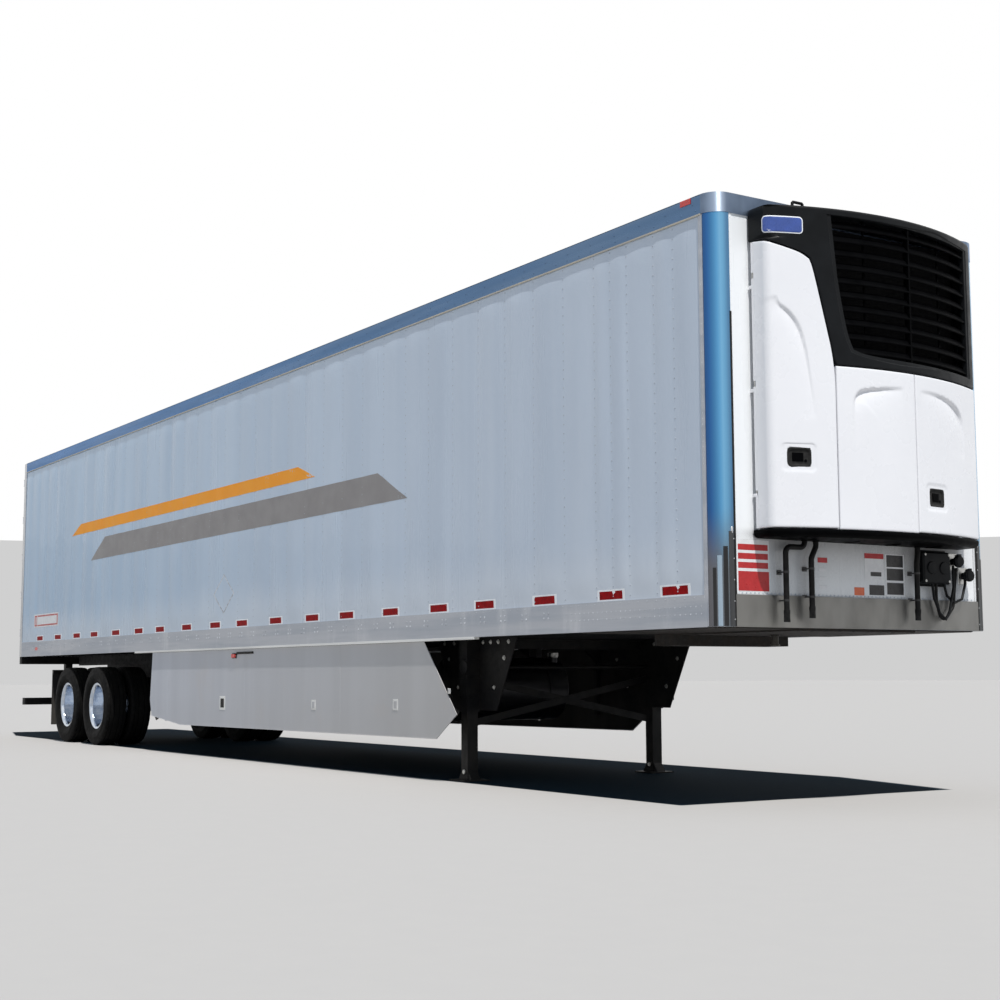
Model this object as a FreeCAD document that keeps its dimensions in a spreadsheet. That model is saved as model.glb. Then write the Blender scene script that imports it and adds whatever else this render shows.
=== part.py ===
import FreeCAD, Part
import math
import os
import Sketcher

# A refrigerated semi trailer, parked on its landing legs.
# +X points forward to the nose, +Y to the left, +Z up; millimetres.
# The origin is on the ground, under the middle of the whole trailer.

DRIVING_SIZES = [
    # alias, millimetres (or a plain count), meaning
    ("box_length", 16154, "nose face to rear face of the van body"),
    ("box_width", 2591, "over the rails"),
    ("overall_height", 4115, "ground to top rail"),
    ("deck_height", 1193, "ground to underside of the bottom rails"),
    ("bottom_rail_depth", 212, "height of the bottom rails"),
    ("top_rail_depth", 137, "height of the top rails"),
    ("rail_skin", 10, "thickness of the rail extrusions"),
    ("bottom_flange", 60, "inward flange of the bottom rails"),
    ("top_flange", 110, "inward flange of the top rails"),
    ("wall_thickness", 50, "insulated side wall"),
    ("front_wall_thickness", 100, "insulated front wall"),
    ("roof_thickness", 70, "insulated roof"),
    ("floor_thickness", 115, "insulated floor"),
    ("beam_depth", 102, "cross member height"),
    ("beam_flange", 60, "cross member flange width"),
    ("beam_web", 6, "cross member web thickness"),
    ("beam_pitch", 305, "cross member spacing"),
    ("corner_radius", 136, "rounded nose corners"),
    ("cap_relief", 4, "how far the corner posts sit inside the caps"),
    ("frame_depth", 100, "rear frame, front to back"),
    ("frame_post", 110, "rear frame post width"),
    ("header_depth", 140, "rear frame header height"),
    ("sill_depth", 227, "rear frame sill height"),
    ("door_thickness", 80, "rear door leaf"),
    ("door_gap", 9, "clearance round each rear door leaf"),
    ("hinge_reach", 36, "hinge pin line behind the rear frame"),
    ("hinge_inset", 15, "hinge pin line inside the overall width"),
    ("hinge_barrel", 12, "hinge barrel radius"),
    ("hinge_pin", 6, "hinge pin radius"),
    ("hinge_height", 70, "hinge barrel length"),
    ("hinge_strap", 8, "hinge strap thickness"),
    ("hinge_count", 5, "hinges on each rear door"),
    ("lock_rod_radius", 14, "rear door lock rods"),
    ("coupler_length", 1640, "upper coupler plate, front to back"),
    ("coupler_plate", 12, "upper coupler plate thickness"),
    ("coupler_drop", 18, "coupler plate below the deck line"),
    ("kingpin_setback", 914, "nose face to kingpin"),
    ("kingpin_radius", 25.4, "two inch kingpin"),
    ("kingpin_drop", 84, "kingpin length below the plate"),
    ("kingpin_collar", 35.7, "kingpin head and collar radius"),
    ("leg_setback", 3650, "nose face to landing legs"),
    ("leg_spread", 985, "centre line to each landing leg"),
    ("leg_outer", 127, "outer leg tube, square"),
    ("leg_inner", 102, "inner leg tube, square"),
    ("leg_split", 580, "ground to lower end of the outer leg tube"),
    ("shoe_size", 250, "landing leg sand shoe, square"),
    ("shoe_plate", 12, "sand shoe thickness"),
    ("tyre_radius", 510, "tyre outside radius"),
    ("tyre_width", 284, "tyre section width"),
    ("rim_radius", 286, "rim bead seat radius"),
    ("rim_width", 210, "rim width"),
    ("dual_spacing", 330, "centre to centre of the twin tyres"),
    ("dual_spread", 985, "centre line to the middle of each pair"),
    ("disc_thickness", 22, "wheel disc thickness"),
    ("axle_overhang", 2279, "rear face to the rear axle"),
    ("axle_spacing", 1245, "front axle to rear axle"),
    ("axle_radius", 63.5, "axle tube radius"),
    ("spindle_radius", 44.7, "axle spindle radius"),
    ("running_gap", 0.3, "clearance between running and seated round faces"),
    ("arm_width", 100, "trailing arm width"),
    ("arm_offset", 432, "centre line to each trailing arm"),
    ("spring_radius", 125, "air spring radius"),
    ("bogie_base", 880, "ground to underside of the bogie rails"),
    ("slide_rail_offset", 510, "centre line to slide rail web"),
    ("slide_rail_base", 1060, "ground to underside of the slide rails"),
    ("slide_rail_length", 5600, "length of the slide rails"),
    ("plate", 10, "general bracket plate thickness"),
    ("skirt_offset", 1268, "centre line to the outer face of the skirts"),
    ("skirt_thickness", 6, "side skirt panel thickness"),
    ("skirt_base", 335, "ground to lower edge of the skirts"),
    ("skirt_gap", 2030, "front axle to the rear edge of the skirts"),
    ("unit_depth", 400, "refrigeration unit, nose face to its front"),
    ("unit_edge", 180, "refrigeration unit depth at its outer edges"),
    ("unit_half", 1000, "refrigeration unit half width"),
    ("unit_base_height", 1800, "ground to underside of the unit"),
    ("unit_tray", 41, "height of the unit's black base tray"),
    ("unit_top_gap", 95, "top rail to the top of the unit"),
    ("shroud_base", 2940, "ground to lower edge of the shroud"),
    ("unit_skin", 25, "thickness of the unit's moulded panels"),
    ("panel_gap", 7, "gap between the unit's panels"),
    ("shroud_gap", 11, "gap between the kerb door and the shroud"),
    ("kerb_seam", 545, "centre line to kerb door's free edge"),
    ("road_seam", 150, "centre line to road door's free edge"),
    ("unit_hinge_inset", 32, "unit door hinge line off the nose face"),
    ("unit_hinge_radius", 9, "unit door hinge barrel radius"),
    ("unit_hinge_pin", 4, "unit door hinge pin radius"),
    ("unit_lug_height", 24, "height of each unit door hinge lug"),
    ("grille_base", 3005, "ground to lower edge of the grille opening"),
    ("grille_top", 3955, "ground to upper edge of the grille opening"),
    ("grille_right", 500, "centre line to right edge of the grille"),
    ("grille_left", 880, "centre line to left edge of the grille"),
    ("louvre_count", 10, "louvres in the grille"),
    ("louvre_height", 34, "height of each louvre"),
    ("tank_radius", 290, "fuel tank radius"),
    ("tank_length", 1150, "fuel tank length"),
    ("tank_setback", 4700, "nose face to the fuel tank's centre"),
    ("tank_height", 760, "ground to the fuel tank's centre"),
    ("flap_width", 610, "mud flap width"),
    ("flap_gap", 725, "rear axle to the mud flaps"),
    ("guard_height", 480, "ground to underside of the underride guard"),
    ("guard_tube", 102, "underride guard tube, square"),
    ("guard_beam", 110, "height of the beam that carries the guard"),
    ("hose_radius", 19, "drain hose radius"),
    ("cable_radius", 11, "service cable radius"),
]


class Size:
    """A length that carries both its value and the sheet expression behind it."""

    def __init__(self, text, value):
        self.text = text
        self.value = value

    def __add__(self, other):
        return joined(self, "+", other)

    def __radd__(self, other):
        return joined(other, "+", self)

    def __sub__(self, other):
        return joined(self, "-", other)

    def __rsub__(self, other):
        return joined(other, "-", self)

    def __mul__(self, other):
        return joined(self, "*", other)

    __rmul__ = __mul__

    def __truediv__(self, other):
        return joined(self, "/", other)

    def __neg__(self):
        return joined(0, "-", self)


def as_size(number):
    if isinstance(number, Size):
        return number
    return Size(f"({number})" if number < 0 else f"{number}", float(number))


def joined(first, sign, second):
    a = as_size(first)
    b = as_size(second)
    values = {
        "+": lambda: a.value + b.value,
        "-": lambda: a.value - b.value,
        "*": lambda: a.value * b.value,
        "/": lambda: a.value / b.value,
    }
    return Size(f"({a.text} {sign} {b.text})", values[sign]())


def bind(item, path, number):
    item.setExpression(path, as_size(number).text)


doc = FreeCAD.newDocument("semi_trailer")
sheet = doc.addObject("Spreadsheet::Sheet", "sizes")
size = {}
for row, (alias, amount, _) in enumerate(DRIVING_SIZES, start=1):
    sheet.set(f"A{row}", str(amount))
    sheet.setAlias(f"A{row}", alias)
    size[alias] = Size(f"sizes.{alias}", float(amount))
doc.recompute()

nodes = {}


def node(name, item):
    """Names a finished sub-part, so that it is checked and written."""
    item.Label = name
    nodes[name] = item
    return item


# ---------------------------------------------------------------- building blocks

def put(item, x, y, z):
    for letter, number in zip("xyz", (x, y, z)):
        bind(item, f"Placement.Base.{letter}", number)
    return item


def box(x, y, z):
    """A block between pairs of limits along X, Y and Z."""
    item = doc.addObject("Part::Box", "block")
    for prop, (low, high) in zip(("Length", "Width", "Height"), (x, y, z)):
        bind(item, prop, high - low)
    return put(item, x[0], y[0], z[0])


TURNS = {"X": ((0, 1, 0), 90), "Y": ((1, 0, 0), -90), "Z": ((0, 0, 1), 0)}


def turn_to(item, axis):
    vector, degrees = TURNS[axis]
    rotation = FreeCAD.Rotation(FreeCAD.Vector(*vector), degrees)
    item.Placement = FreeCAD.Placement(FreeCAD.Vector(), rotation)


def rod(axis, start, radius, length):
    """A round bar from start, along +axis."""
    item = doc.addObject("Part::Cylinder", "bar")
    bind(item, "Radius", radius)
    bind(item, "Height", length)
    turn_to(item, axis)
    return put(item, *start)


def quarter(start, radius, length, first_degrees):
    """A quarter of an upright cylinder, from first_degrees on."""
    item = doc.addObject("Part::Cylinder", "quarter")
    bind(item, "Radius", radius)
    bind(item, "Height", length)
    item.Angle = 90
    rotation = FreeCAD.Rotation(FreeCAD.Vector(0, 0, 1), first_degrees)
    item.Placement = FreeCAD.Placement(FreeCAD.Vector(), rotation)
    return put(item, *start)


def fuse(items):
    if len(items) == 1:
        return items[0]
    item = doc.addObject("Part::MultiFuse", "fused")
    item.Shapes = items
    item.Refine = True
    return item


def cut(base, tool):
    item = doc.addObject("Part::Cut", "trimmed")
    item.Base = base
    item.Tool = tool
    return item


def common(base, tool):
    item = doc.addObject("Part::Common", "shared")
    item.Base = base
    item.Tool = tool
    return item


def group(items):
    """Like pieces that don't touch, kept as separate solids."""
    item = doc.addObject("Part::Compound", "set")
    item.Links = items
    return item


PLANES = {"Z": "XY_Plane", "Y": "XZ_Plane", "X": "YZ_Plane"}


def arc_between(start, end, radius):
    """The short arc of this radius, bulging to the right of the way it runs."""
    chord = end - start
    half = chord.Length / 2
    lift = math.sqrt(max(radius * radius - half * half, 0))
    left = FreeCAD.Vector(-chord.y, chord.x, 0).normalize()
    centre = (start + end) / 2 + left * lift
    first = math.atan2(start.y - centre.y, start.x - centre.x)
    last = math.atan2(end.y - centre.y, end.x - centre.x)
    circle = Part.Circle(centre, FreeCAD.Vector(0, 0, 1), radius)
    return Part.ArcOfCircle(circle, first, last)


def sketch_on(body, axis, corners, bulges):
    """A closed, fully bound outline, anticlockwise. bulges gives arcs by corner number."""
    sketch = body.newObject("Sketcher::SketchObject", "outline")
    planes = body.Origin.OriginFeatures
    base = next(plane for plane in planes if plane.Role == PLANES[axis])
    sketch.AttachmentSupport = [(base, "")]
    sketch.MapMode = "FlatFace"
    sizes = [(as_size(u), as_size(v)) for u, v in corners]
    points = [FreeCAD.Vector(u.value, v.value, 0) for u, v in sizes]
    count = len(points)
    for index in range(count):
        start = points[index]
        end = points[(index + 1) % count]
        if index in bulges:
            edge = arc_between(start, end, as_size(bulges[index]).value)
        else:
            edge = Part.LineSegment(start, end)
        sketch.addGeometry(edge, False)
    for index in range(count):
        following = (index + 1) % count
        sketch.addConstraint(Sketcher.Constraint("Coincident", index, 2, following, 1))
    for index, pair in enumerate(sizes):
        for kind, number in zip(("DistanceX", "DistanceY"), pair):
            rule = Sketcher.Constraint(kind, -1, 1, index, 1, number.value)
            bind(sketch, f"Constraints[{sketch.addConstraint(rule)}]", number)
    for index, radius in bulges.items():
        rule = Sketcher.Constraint("Radius", index, as_size(radius).value)
        bind(sketch, f"Constraints[{sketch.addConstraint(rule)}]", radius)
    return sketch


def prism(axis, corners, start, end, bulges=None):
    """An outline drawn across an axis and padded along it, from start to end.

    Corners are (x, y) for axis Z, (x, z) for axis Y and (y, z) for axis X.
    """
    body = doc.addObject("PartDesign::Body", "body")
    sketch = sketch_on(body, axis, corners, bulges or {})
    pad = body.newObject("PartDesign::Pad", "pad")
    pad.Profile = sketch
    bind(pad, "Length", end - start)
    body.Tip = pad
    shift = {"X": (start, 0, 0), "Y": (0, end, 0), "Z": (0, 0, start)}[axis]
    return put(body, *shift)


def turned(corners, x, z, bulges=None):
    """A section of (y, radius) corners turned about a cross-wise axle line at x, z."""
    body = doc.addObject("PartDesign::Body", "body")
    sketch = sketch_on(body, "Z", [(radius, y) for y, radius in corners], bulges or {})
    revolution = body.newObject("PartDesign::Revolution", "turned")
    revolution.Profile = sketch
    revolution.ReferenceAxis = (sketch, ["V_Axis"])
    revolution.Angle = 360
    body.Tip = revolution
    return put(body, x, 0, z)


def repeated(body, direction, spacing, count):
    """Repeats a body's pad along its own X or Z direction."""
    pattern = body.newObject("PartDesign::LinearPattern", "row")
    pattern.Originals = [body.Tip]
    axes = body.Origin.OriginFeatures
    axis = next(line for line in axes if line.Role == f"{direction}_Axis")
    pattern.Direction = (axis, [""])
    bind(pattern, "Length", spacing * (count - 1))
    bind(pattern, "Occurrences", count)
    body.Tip = pattern
    return body


def tube_along(points, radius, bend):
    """A round hose: straight runs joined by tangent arcs of one bend radius."""
    corners = [FreeCAD.Vector(*(as_size(part).value for part in point)) for point in points]
    edges = []
    here = corners[0]
    for before, corner, after in zip(corners, corners[1:], corners[2:]):
        back = (before - corner).normalize()
        onward = (after - corner).normalize()
        half_turn = (math.pi - back.getAngle(onward)) / 2
        reach = bend * math.tan(half_turn)
        arc_start = corner + back * reach
        arc_end = corner + onward * reach
        middle_way = (back + onward).normalize()
        middle = corner + middle_way * (bend / math.cos(half_turn) - bend)
        edges.append(Part.LineSegment(here, arc_start).toShape())
        edges.append(Part.Arc(arc_start, middle, arc_end).toShape())
        here = arc_end
    edges.append(Part.LineSegment(here, corners[-1]).toShape())
    path = Part.Wire(edges)
    heading = (corners[1] - corners[0]).normalize()
    circle = Part.Wire(Part.makeCircle(radius.value, corners[0], heading))
    solid = path.makePipeShell([circle], True, False)
    expected = math.pi * radius.value ** 2 * path.Length
    if abs(solid.Volume / expected - 1) > 0.01:
        raise ValueError("a hose came out with the wrong volume")
    item = doc.addObject("Part::Feature", "hose")
    item.Shape = solid
    return item


# ---------------------------------------------------------------- shared places

half = size["box_width"] / 2
nose = (size["box_length"] + size["hinge_reach"] + size["hinge_barrel"] - size["unit_depth"]) / 2
rear = nose - size["box_length"]
top = size["overall_height"]
deck = size["deck_height"]
rail_top = deck + size["bottom_rail_depth"]
skin = size["rail_skin"]
plate = size["plate"]
flange_top = deck + size["rail_skin"]
beam_top = flange_top + size["beam_depth"]
floor_top = beam_top + size["floor_thickness"]
roof_top = top - skin
roof_base = roof_top - size["roof_thickness"]
top_rail_base = top - size["top_rail_depth"]
wall_out = half - skin
wall_in = wall_out - size["wall_thickness"]
corner_x = nose - size["corner_radius"]
corner_y = half - size["corner_radius"]
body_rear = rear + size["frame_depth"]
front_out = nose - skin
front_in = front_out - size["front_wall_thickness"]
unit_top = top - size["unit_top_gap"]
rear_axle_x = rear + size["axle_overhang"]
front_axle_x = rear_axle_x + size["axle_spacing"]
flap_x = rear_axle_x - size["flap_gap"]
SIDES = (("left", 1), ("right", -1))


def spread(side, low, high):
    """The Y limits of something low to high from the centre line, on one side."""
    return (low, high) if side > 0 else (-high, -low)


# ---------------------------------------------------------------- van body

def deck_plate(start, end, reach, heights):
    """A plate that reaches to both sides, narrowed between the corner posts at the nose."""
    wide = box((start, corner_x), (-reach, reach), heights)
    tongue = box((corner_x, end), (-corner_y, corner_y), heights)
    return fuse([wide, tongue])


def make_floor():
    node("floor", deck_plate(body_rear, front_in, wall_in, (beam_top, floor_top)))


def make_cross_members():
    gap = size["beam_flange"] / 2
    web = size["beam_web"] / 2
    low = flange_top + size["beam_web"]
    high = beam_top - size["beam_web"]
    outline = [
        (-gap, flange_top), (gap, flange_top), (gap, low), (web, low),
        (web, high), (gap, high), (gap, beam_top), (-gap, beam_top),
        (-gap, high), (-web, high), (-web, low), (-gap, low),
    ]
    first = body_rear + size["beam_pitch"]
    last = nose - size["coupler_length"] - size["beam_pitch"]
    count = int((last - first).value // size["beam_pitch"].value) + 1
    beam = prism("Y", outline, -wall_out, wall_out)
    repeated(beam, "X", size["beam_pitch"], count)
    bind(beam, "Placement.Base.x", first)
    node("cross_members", beam)


def make_walls():
    for name, side in SIDES:
        item = box((body_rear, corner_x), spread(side, wall_in, wall_out), (beam_top, roof_top))
        node(f"side_wall_{name}", item)
    wall = box((front_in, front_out), (-corner_y, corner_y), (beam_top, roof_top))
    node("front_wall", cut(wall, evaporator_block()))
    node("roof", deck_plate(body_rear, front_in, wall_in, (roof_base, roof_top)))


def side_rail(side, base, rise, flange, flange_at):
    """An L-shaped rail: an upright skin and an inward flange at one of its ends."""
    out, inside, tip = half * side, wall_out * side, (half - flange) * side
    crown = base + rise
    if flange_at == "foot":
        corners = [(out, base), (out, crown), (inside, crown), (inside, base + skin),
                   (tip, base + skin), (tip, base)]
    else:
        corners = [(out, base), (out, crown), (tip, crown), (tip, crown - skin),
                   (inside, crown - skin), (inside, base)]
    if side < 0:
        corners.reverse()
    return prism("X", corners, body_rear, corner_x)


def make_rails():
    bottom = []
    upper = []
    for _, side in SIDES:
        bottom.append(side_rail(side, deck, size["bottom_rail_depth"], size["bottom_flange"], "foot"))
        upper.append(side_rail(side, top_rail_base, size["top_rail_depth"], size["top_flange"], "head"))
    node("bottom_rails", group(bottom))
    node("top_rails", group(upper))


def corner_wedge(side, radius, base, crown):
    first = 0 if side > 0 else -90
    return quarter((corner_x, corner_y * side, base), radius, crown - base, first)


def make_nose():
    post_radius = size["corner_radius"] - size["cap_relief"]
    core = size["corner_radius"] - size["front_wall_thickness"]
    posts = []
    for _, side in SIDES:
        outer = corner_wedge(side, post_radius, deck, top_rail_base)
        posts.append(cut(outer, corner_wedge(side, core, deck, top_rail_base)))
    node("corner_posts", group(posts))
    lower = box((front_out, nose), (-corner_y, corner_y), (deck, rail_top))
    shelf = box((nose - size["bottom_flange"], nose), (-corner_y, corner_y), (deck, flange_top))
    upper = box((front_out, nose), (-corner_y, corner_y), (top_rail_base, top))
    lid = box((nose - size["corner_radius"], nose), (-corner_y, corner_y), (roof_top, top))
    caps = []
    for _, side in SIDES:
        shell = corner_wedge(side, size["corner_radius"], top_rail_base, top)
        caps.append(cut(shell, corner_wedge(side, core, top_rail_base, roof_top)))
    node("nose_rails", group([fuse([lower, shelf]), fuse([upper, lid] + caps)]))


def hinge_heights():
    low = rail_top + 150
    high = top_rail_base - 150
    count = int(size["hinge_count"].value)
    step = (high - low) / (count - 1)
    return [low + step * index for index in range(count)]


hinge_x = rear - size["hinge_reach"]
hinge_y = half - size["hinge_inset"]
door_back = rear - size["hinge_reach"] + 30
LOCK_ROD_PLACES = (0.28, 0.76)
CAM_HALF = 16
KEEPER_GAP = 6


def door_span():
    """How far from the centre line a leaf begins and ends."""
    return size["door_gap"] / 2, half - size["frame_post"] - size["door_gap"]


def lock_rod_offsets():
    inner, outer = door_span()
    return [outer - (outer - inner) * share for share in LOCK_ROD_PLACES]


def make_rear_frame():
    pieces = []
    for _, side in SIDES:
        span = spread(side, half - size["frame_post"], half)
        pieces.append(box((rear, body_rear), span, (deck, top)))
        ear_span = spread(side, hinge_y - size["hinge_barrel"], hinge_y + size["hinge_barrel"])
        for middle in hinge_heights():
            for way in (-1, 1):
                near = middle + (size["hinge_height"] / 2 + 6) * way
                far = near + plate * way
                levels = (near, far) if way > 0 else (far, near)
                pieces.append(box((hinge_x - size["hinge_barrel"], rear), ear_span, levels))
            reach = size["hinge_height"] / 2 + 6 + plate
            start = (hinge_x, hinge_y * side, middle - reach)
            pieces.append(rod("Z", start, size["hinge_pin"], reach * 2))
        for offset in lock_rod_offsets():
            for way in (-1, 1):
                inner = offset * side + (CAM_HALF + KEEPER_GAP) * way
                outer = inner + plate * way
                span = (inner, outer) if way > 0 else (outer, inner)
                for low, high in ((floor_top - 110, floor_top - 30), (top - 110, top - 30)):
                    pieces.append(box((rear - 26, rear), span, (low, high)))
    between = (size["frame_post"] - half, half - size["frame_post"])
    pieces.append(box((rear, body_rear), between, (top - size["header_depth"], top)))
    pieces.append(box((rear, body_rear), between, (deck, deck + size["sill_depth"])))
    node("rear_frame", fuse(pieces))


def make_rear_doors():
    low = deck + size["sill_depth"] + size["door_gap"]
    high = top - size["header_depth"] - size["door_gap"]
    inner, outer = door_span()
    for name, side in SIDES:
        depth = (door_back, door_back + size["door_thickness"])
        pieces = [box(depth, spread(side, inner, outer), (low, high))]
        for middle in hinge_heights():
            levels = (middle - size["hinge_height"] / 2, middle + size["hinge_height"] / 2)
            strap = (door_back - size["hinge_strap"], door_back)
            pieces.append(box(strap, spread(side, outer - 260, hinge_y), levels))
            web = (hinge_x, door_back)
            pieces.append(box(web, spread(side, hinge_y - size["hinge_barrel"], hinge_y), levels))
            start = (hinge_x, hinge_y * side, levels[0])
            pieces.append(rod("Z", start, size["hinge_barrel"], size["hinge_height"]))
        bore = rod("Z", (hinge_x, hinge_y * side, low), size["hinge_pin"] + size["running_gap"], high - low)
        node(f"rear_door_{name}", cut(fuse(pieces), bore))
        make_locks(name, side, low, high)


def make_locks(name, side, low, high):
    """Two lock rods with cams, guides and a handle, on the outer face of a leaf."""
    rod_x = door_back - 22
    foot = floor_top - 100
    head = top - 40
    sets = []
    for index, offset in enumerate(lock_rod_offsets()):
        pieces = [rod("Z", (rod_x, offset * side, foot), size["lock_rod_radius"], head - foot)]
        cam = (offset * side - CAM_HALF, offset * side + CAM_HALF)
        for bottom in (foot, head - 60):
            pieces.append(box((rod_x - 8, door_back), cam, (bottom, bottom + 60)))
        for share in (0.06, 0.36, 0.64, 0.94):
            middle = low + (high - low) * share
            wide = (offset * side - 34, offset * side + 34)
            pieces.append(box((rod_x - 6, door_back), wide, (middle - 22, middle + 22)))
        hub = low + (high - low) * (0.22 + 0.05 * index)
        reach = spread(side, offset - 330 + 300 * index, offset + 30 + 300 * index)
        pieces.append(box((rod_x - 20, rod_x - 10), reach, (hub - 16, hub + 16)))
        sets.append(fuse(pieces))
    node(f"door_locks_{name}", group(sets))


# ---------------------------------------------------------------- coupler and landing gear

coupler_base = deck - size["coupler_drop"]
kingpin_x = nose - size["kingpin_setback"]
COUPLER_HALF = 560


def make_coupler():
    back = nose - size["coupler_length"]
    front = nose - size["bottom_flange"]
    face = coupler_base + size["coupler_plate"]
    pieces = [box((back, front), (-COUPLER_HALF, COUPLER_HALF), (coupler_base, face))]
    pieces.append(deck_plate(back, front, half - size["bottom_flange"], (face, beam_top)))
    bolster = box((back, back + 260), (-COUPLER_HALF, COUPLER_HALF), (coupler_base - 75, coupler_base))
    hole = rod("Z", (kingpin_x, 0, coupler_base), size["kingpin_collar"], beam_top - coupler_base)
    node("upper_coupler", cut(fuse(pieces + [bolster]), hole))


def make_kingpin():
    """Turned kingpin: a neck between its head and the collar that sits in the coupler."""
    low = coupler_base - size["kingpin_drop"]
    collar_radius = size["kingpin_collar"] - size["running_gap"]
    neck = rod("Z", (kingpin_x, 0, low), size["kingpin_radius"], size["kingpin_drop"])
    head = rod("Z", (kingpin_x, 0, low), collar_radius, 13)
    collar = rod("Z", (kingpin_x, 0, coupler_base - 13), collar_radius, beam_top - coupler_base + 13)
    node("kingpin", fuse([neck, head, collar]))


leg_x = nose - size["leg_setback"]


def make_landing_legs():
    legs = []
    outer = size["leg_outer"] / 2
    inner = size["leg_inner"] / 2
    shoe = size["shoe_size"] / 2
    for _, side in SIDES:
        y = size["leg_spread"] * side
        housing = box((leg_x - outer, leg_x + outer), (y - outer, y + outer),
                      (size["leg_split"], flange_top))
        sole_top = size["shoe_plate"]
        ram = box((leg_x - inner, leg_x + inner), (y - inner, y + inner), (sole_top, size["leg_split"]))
        sole = box((leg_x - shoe, leg_x + shoe), (y - shoe, y + shoe), (0, sole_top))
        ankle = prism("Y", [(leg_x - shoe + 20, sole_top), (leg_x + shoe - 20, sole_top),
                            (leg_x + inner, 90), (leg_x - inner, 90)], y - 45, y + 45)
        legs.append(fuse([housing, ram, sole, ankle]))
    node("landing_legs", group(legs))


WING_HEAD = 650
WING_FOOT = 330


def make_landing_braces():
    """A wing plate on each leg, an X of angle iron between them and a cross angle."""
    outer = size["leg_outer"] / 2
    foot = size["leg_split"] + 10
    face = size["leg_spread"] - outer
    pieces = []
    for _, side in SIDES:
        wing = [(leg_x - WING_FOOT, foot), (leg_x + WING_FOOT, foot), (leg_x + WING_HEAD, flange_top),
                (leg_x - WING_HEAD, flange_top)]
        span = spread(side, face - plate, face)
        pieces.append(prism("Y", wing, *span))
    strap = 60
    for x, low, high in ((leg_x - plate, 490, 850), (leg_x, 850, 490)):
        pieces.append(slanting_bar(x, low, high, strap, face - plate))
    angle_y = (plate - face, face - plate)
    pieces.append(box((leg_x - 90, leg_x - 80), angle_y, (flange_top - 90, flange_top)))
    pieces.append(box((leg_x - 90, leg_x - 20), angle_y, (flange_top - 10, flange_top)))
    node("landing_braces", fuse(pieces))


def slanting_bar(x, left_height, right_height, depth, reach):
    """A flat bar across the trailer, its middle line rising from one leg to the other."""
    up = depth / 2
    corners = [(-reach, right_height - up), (reach, left_height - up),
               (reach, left_height + up), (-reach, right_height + up)]
    return prism("X", corners, x, x + plate)


def make_landing_crank():
    """Cross shaft, gearbox on the left leg and a folded crank handle."""
    outer = size["leg_outer"] / 2
    face = size["leg_spread"] - outer - plate
    height = flange_top - 250
    shaft = rod("Y", (leg_x + 40, -face, height), 16, face * 2)
    gearbox_y = size["leg_spread"] + outer
    gearbox = box((leg_x - 75, leg_x + 75), (gearbox_y, gearbox_y + 80), (height - 90, height + 60))
    stub = rod("Y", (leg_x + 20, gearbox_y + 80, height), 14, 60)
    arm = box((leg_x + 6, leg_x + 34), (gearbox_y + 140, gearbox_y + 152), (height - 300, height + 20))
    grip = rod("Y", (leg_x + 20, gearbox_y + 10, height - 280), 14, 135)
    node("landing_crank", group([shaft, fuse([gearbox, stub, arm, grip])]))


# ---------------------------------------------------------------- running gear

slide_front = body_rear + 300 + size["slide_rail_length"]
axle_places = (front_axle_x, rear_axle_x)
axle_height = size["tyre_radius"]
arm_base = axle_height + size["axle_radius"] + size["running_gap"]
arm_top = arm_base + 100
PIVOT_LEAD = 520
ARM_TAIL = 400


def make_slide_rails():
    web = size["slide_rail_offset"]
    base = size["slide_rail_base"]
    rails = []
    for _, side in SIDES:
        corners = [(web - 60, base), (web, base), (web, flange_top - plate), (web + 60, flange_top - plate),
                   (web + 60, flange_top), (web - plate, flange_top), (web - plate, base + plate),
                   (web - 60, base + plate)]
        corners = [(y * side, z) for y, z in corners]
        if side < 0:
            corners.reverse()
        rails.append(prism("X", corners, body_rear + 300, slide_front))
    node("slide_rails", group(rails))


def make_bogie_frame():
    base = size["bogie_base"]
    ride = size["slide_rail_base"] + plate
    web = size["slide_rail_offset"] - 70
    back = flap_x - 60
    front = axle_places[0] + 900
    pieces = []
    for _, side in SIDES:
        corners = [(web - 80, base), (web, base), (web, ride), (web + 58, ride), (web + 58, ride + plate),
                   (web - plate, ride + plate), (web - plate, base + plate), (web - 80, base + plate)]
        corners = [(y * side, z) for y, z in corners]
        if side < 0:
            corners.reverse()
        pieces.append(prism("X", corners, back, front))
        for x in axle_places:
            pivot = x + PIVOT_LEAD
            wall = size["arm_width"] / 2 + 6
            for face in (-wall - plate, wall):
                y = size["arm_offset"] * side + face
                shape = [(pivot - 60, arm_base), (pivot + 60, arm_base), (pivot + 140, base),
                         (pivot - 140, base)]
                pieces.append(prism("Y", shape, y, y + plate))
            cap = spread(side, size["arm_offset"] - wall - plate, size["arm_offset"] + wall + plate)
            pieces.append(box((pivot - 140, pivot + 140), cap, (base - plate, base)))
            spring_x = x - ARM_TAIL + 90
            pad = spread(side, size["arm_offset"] - 110, size["arm_offset"] + 110)
            pieces.append(box((spring_x - 110, spring_x + 110), pad, (base - plate, base)))
    for x in (back + 60, axle_places[1] + PIVOT_LEAD, axle_places[0] + PIVOT_LEAD, front - 60):
        pieces.append(box((x - 40, x + 40), (plate - web, web - plate), (base + plate, base + 110)))
    for _, side in SIDES:
        hanger = spread(side, web, size["skirt_offset"] - 20)
        pieces.append(box((flap_x - 25, flap_x + 25), hanger, (base + 60, base + 110)))
    node("bogie_frame", fuse(pieces))


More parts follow.
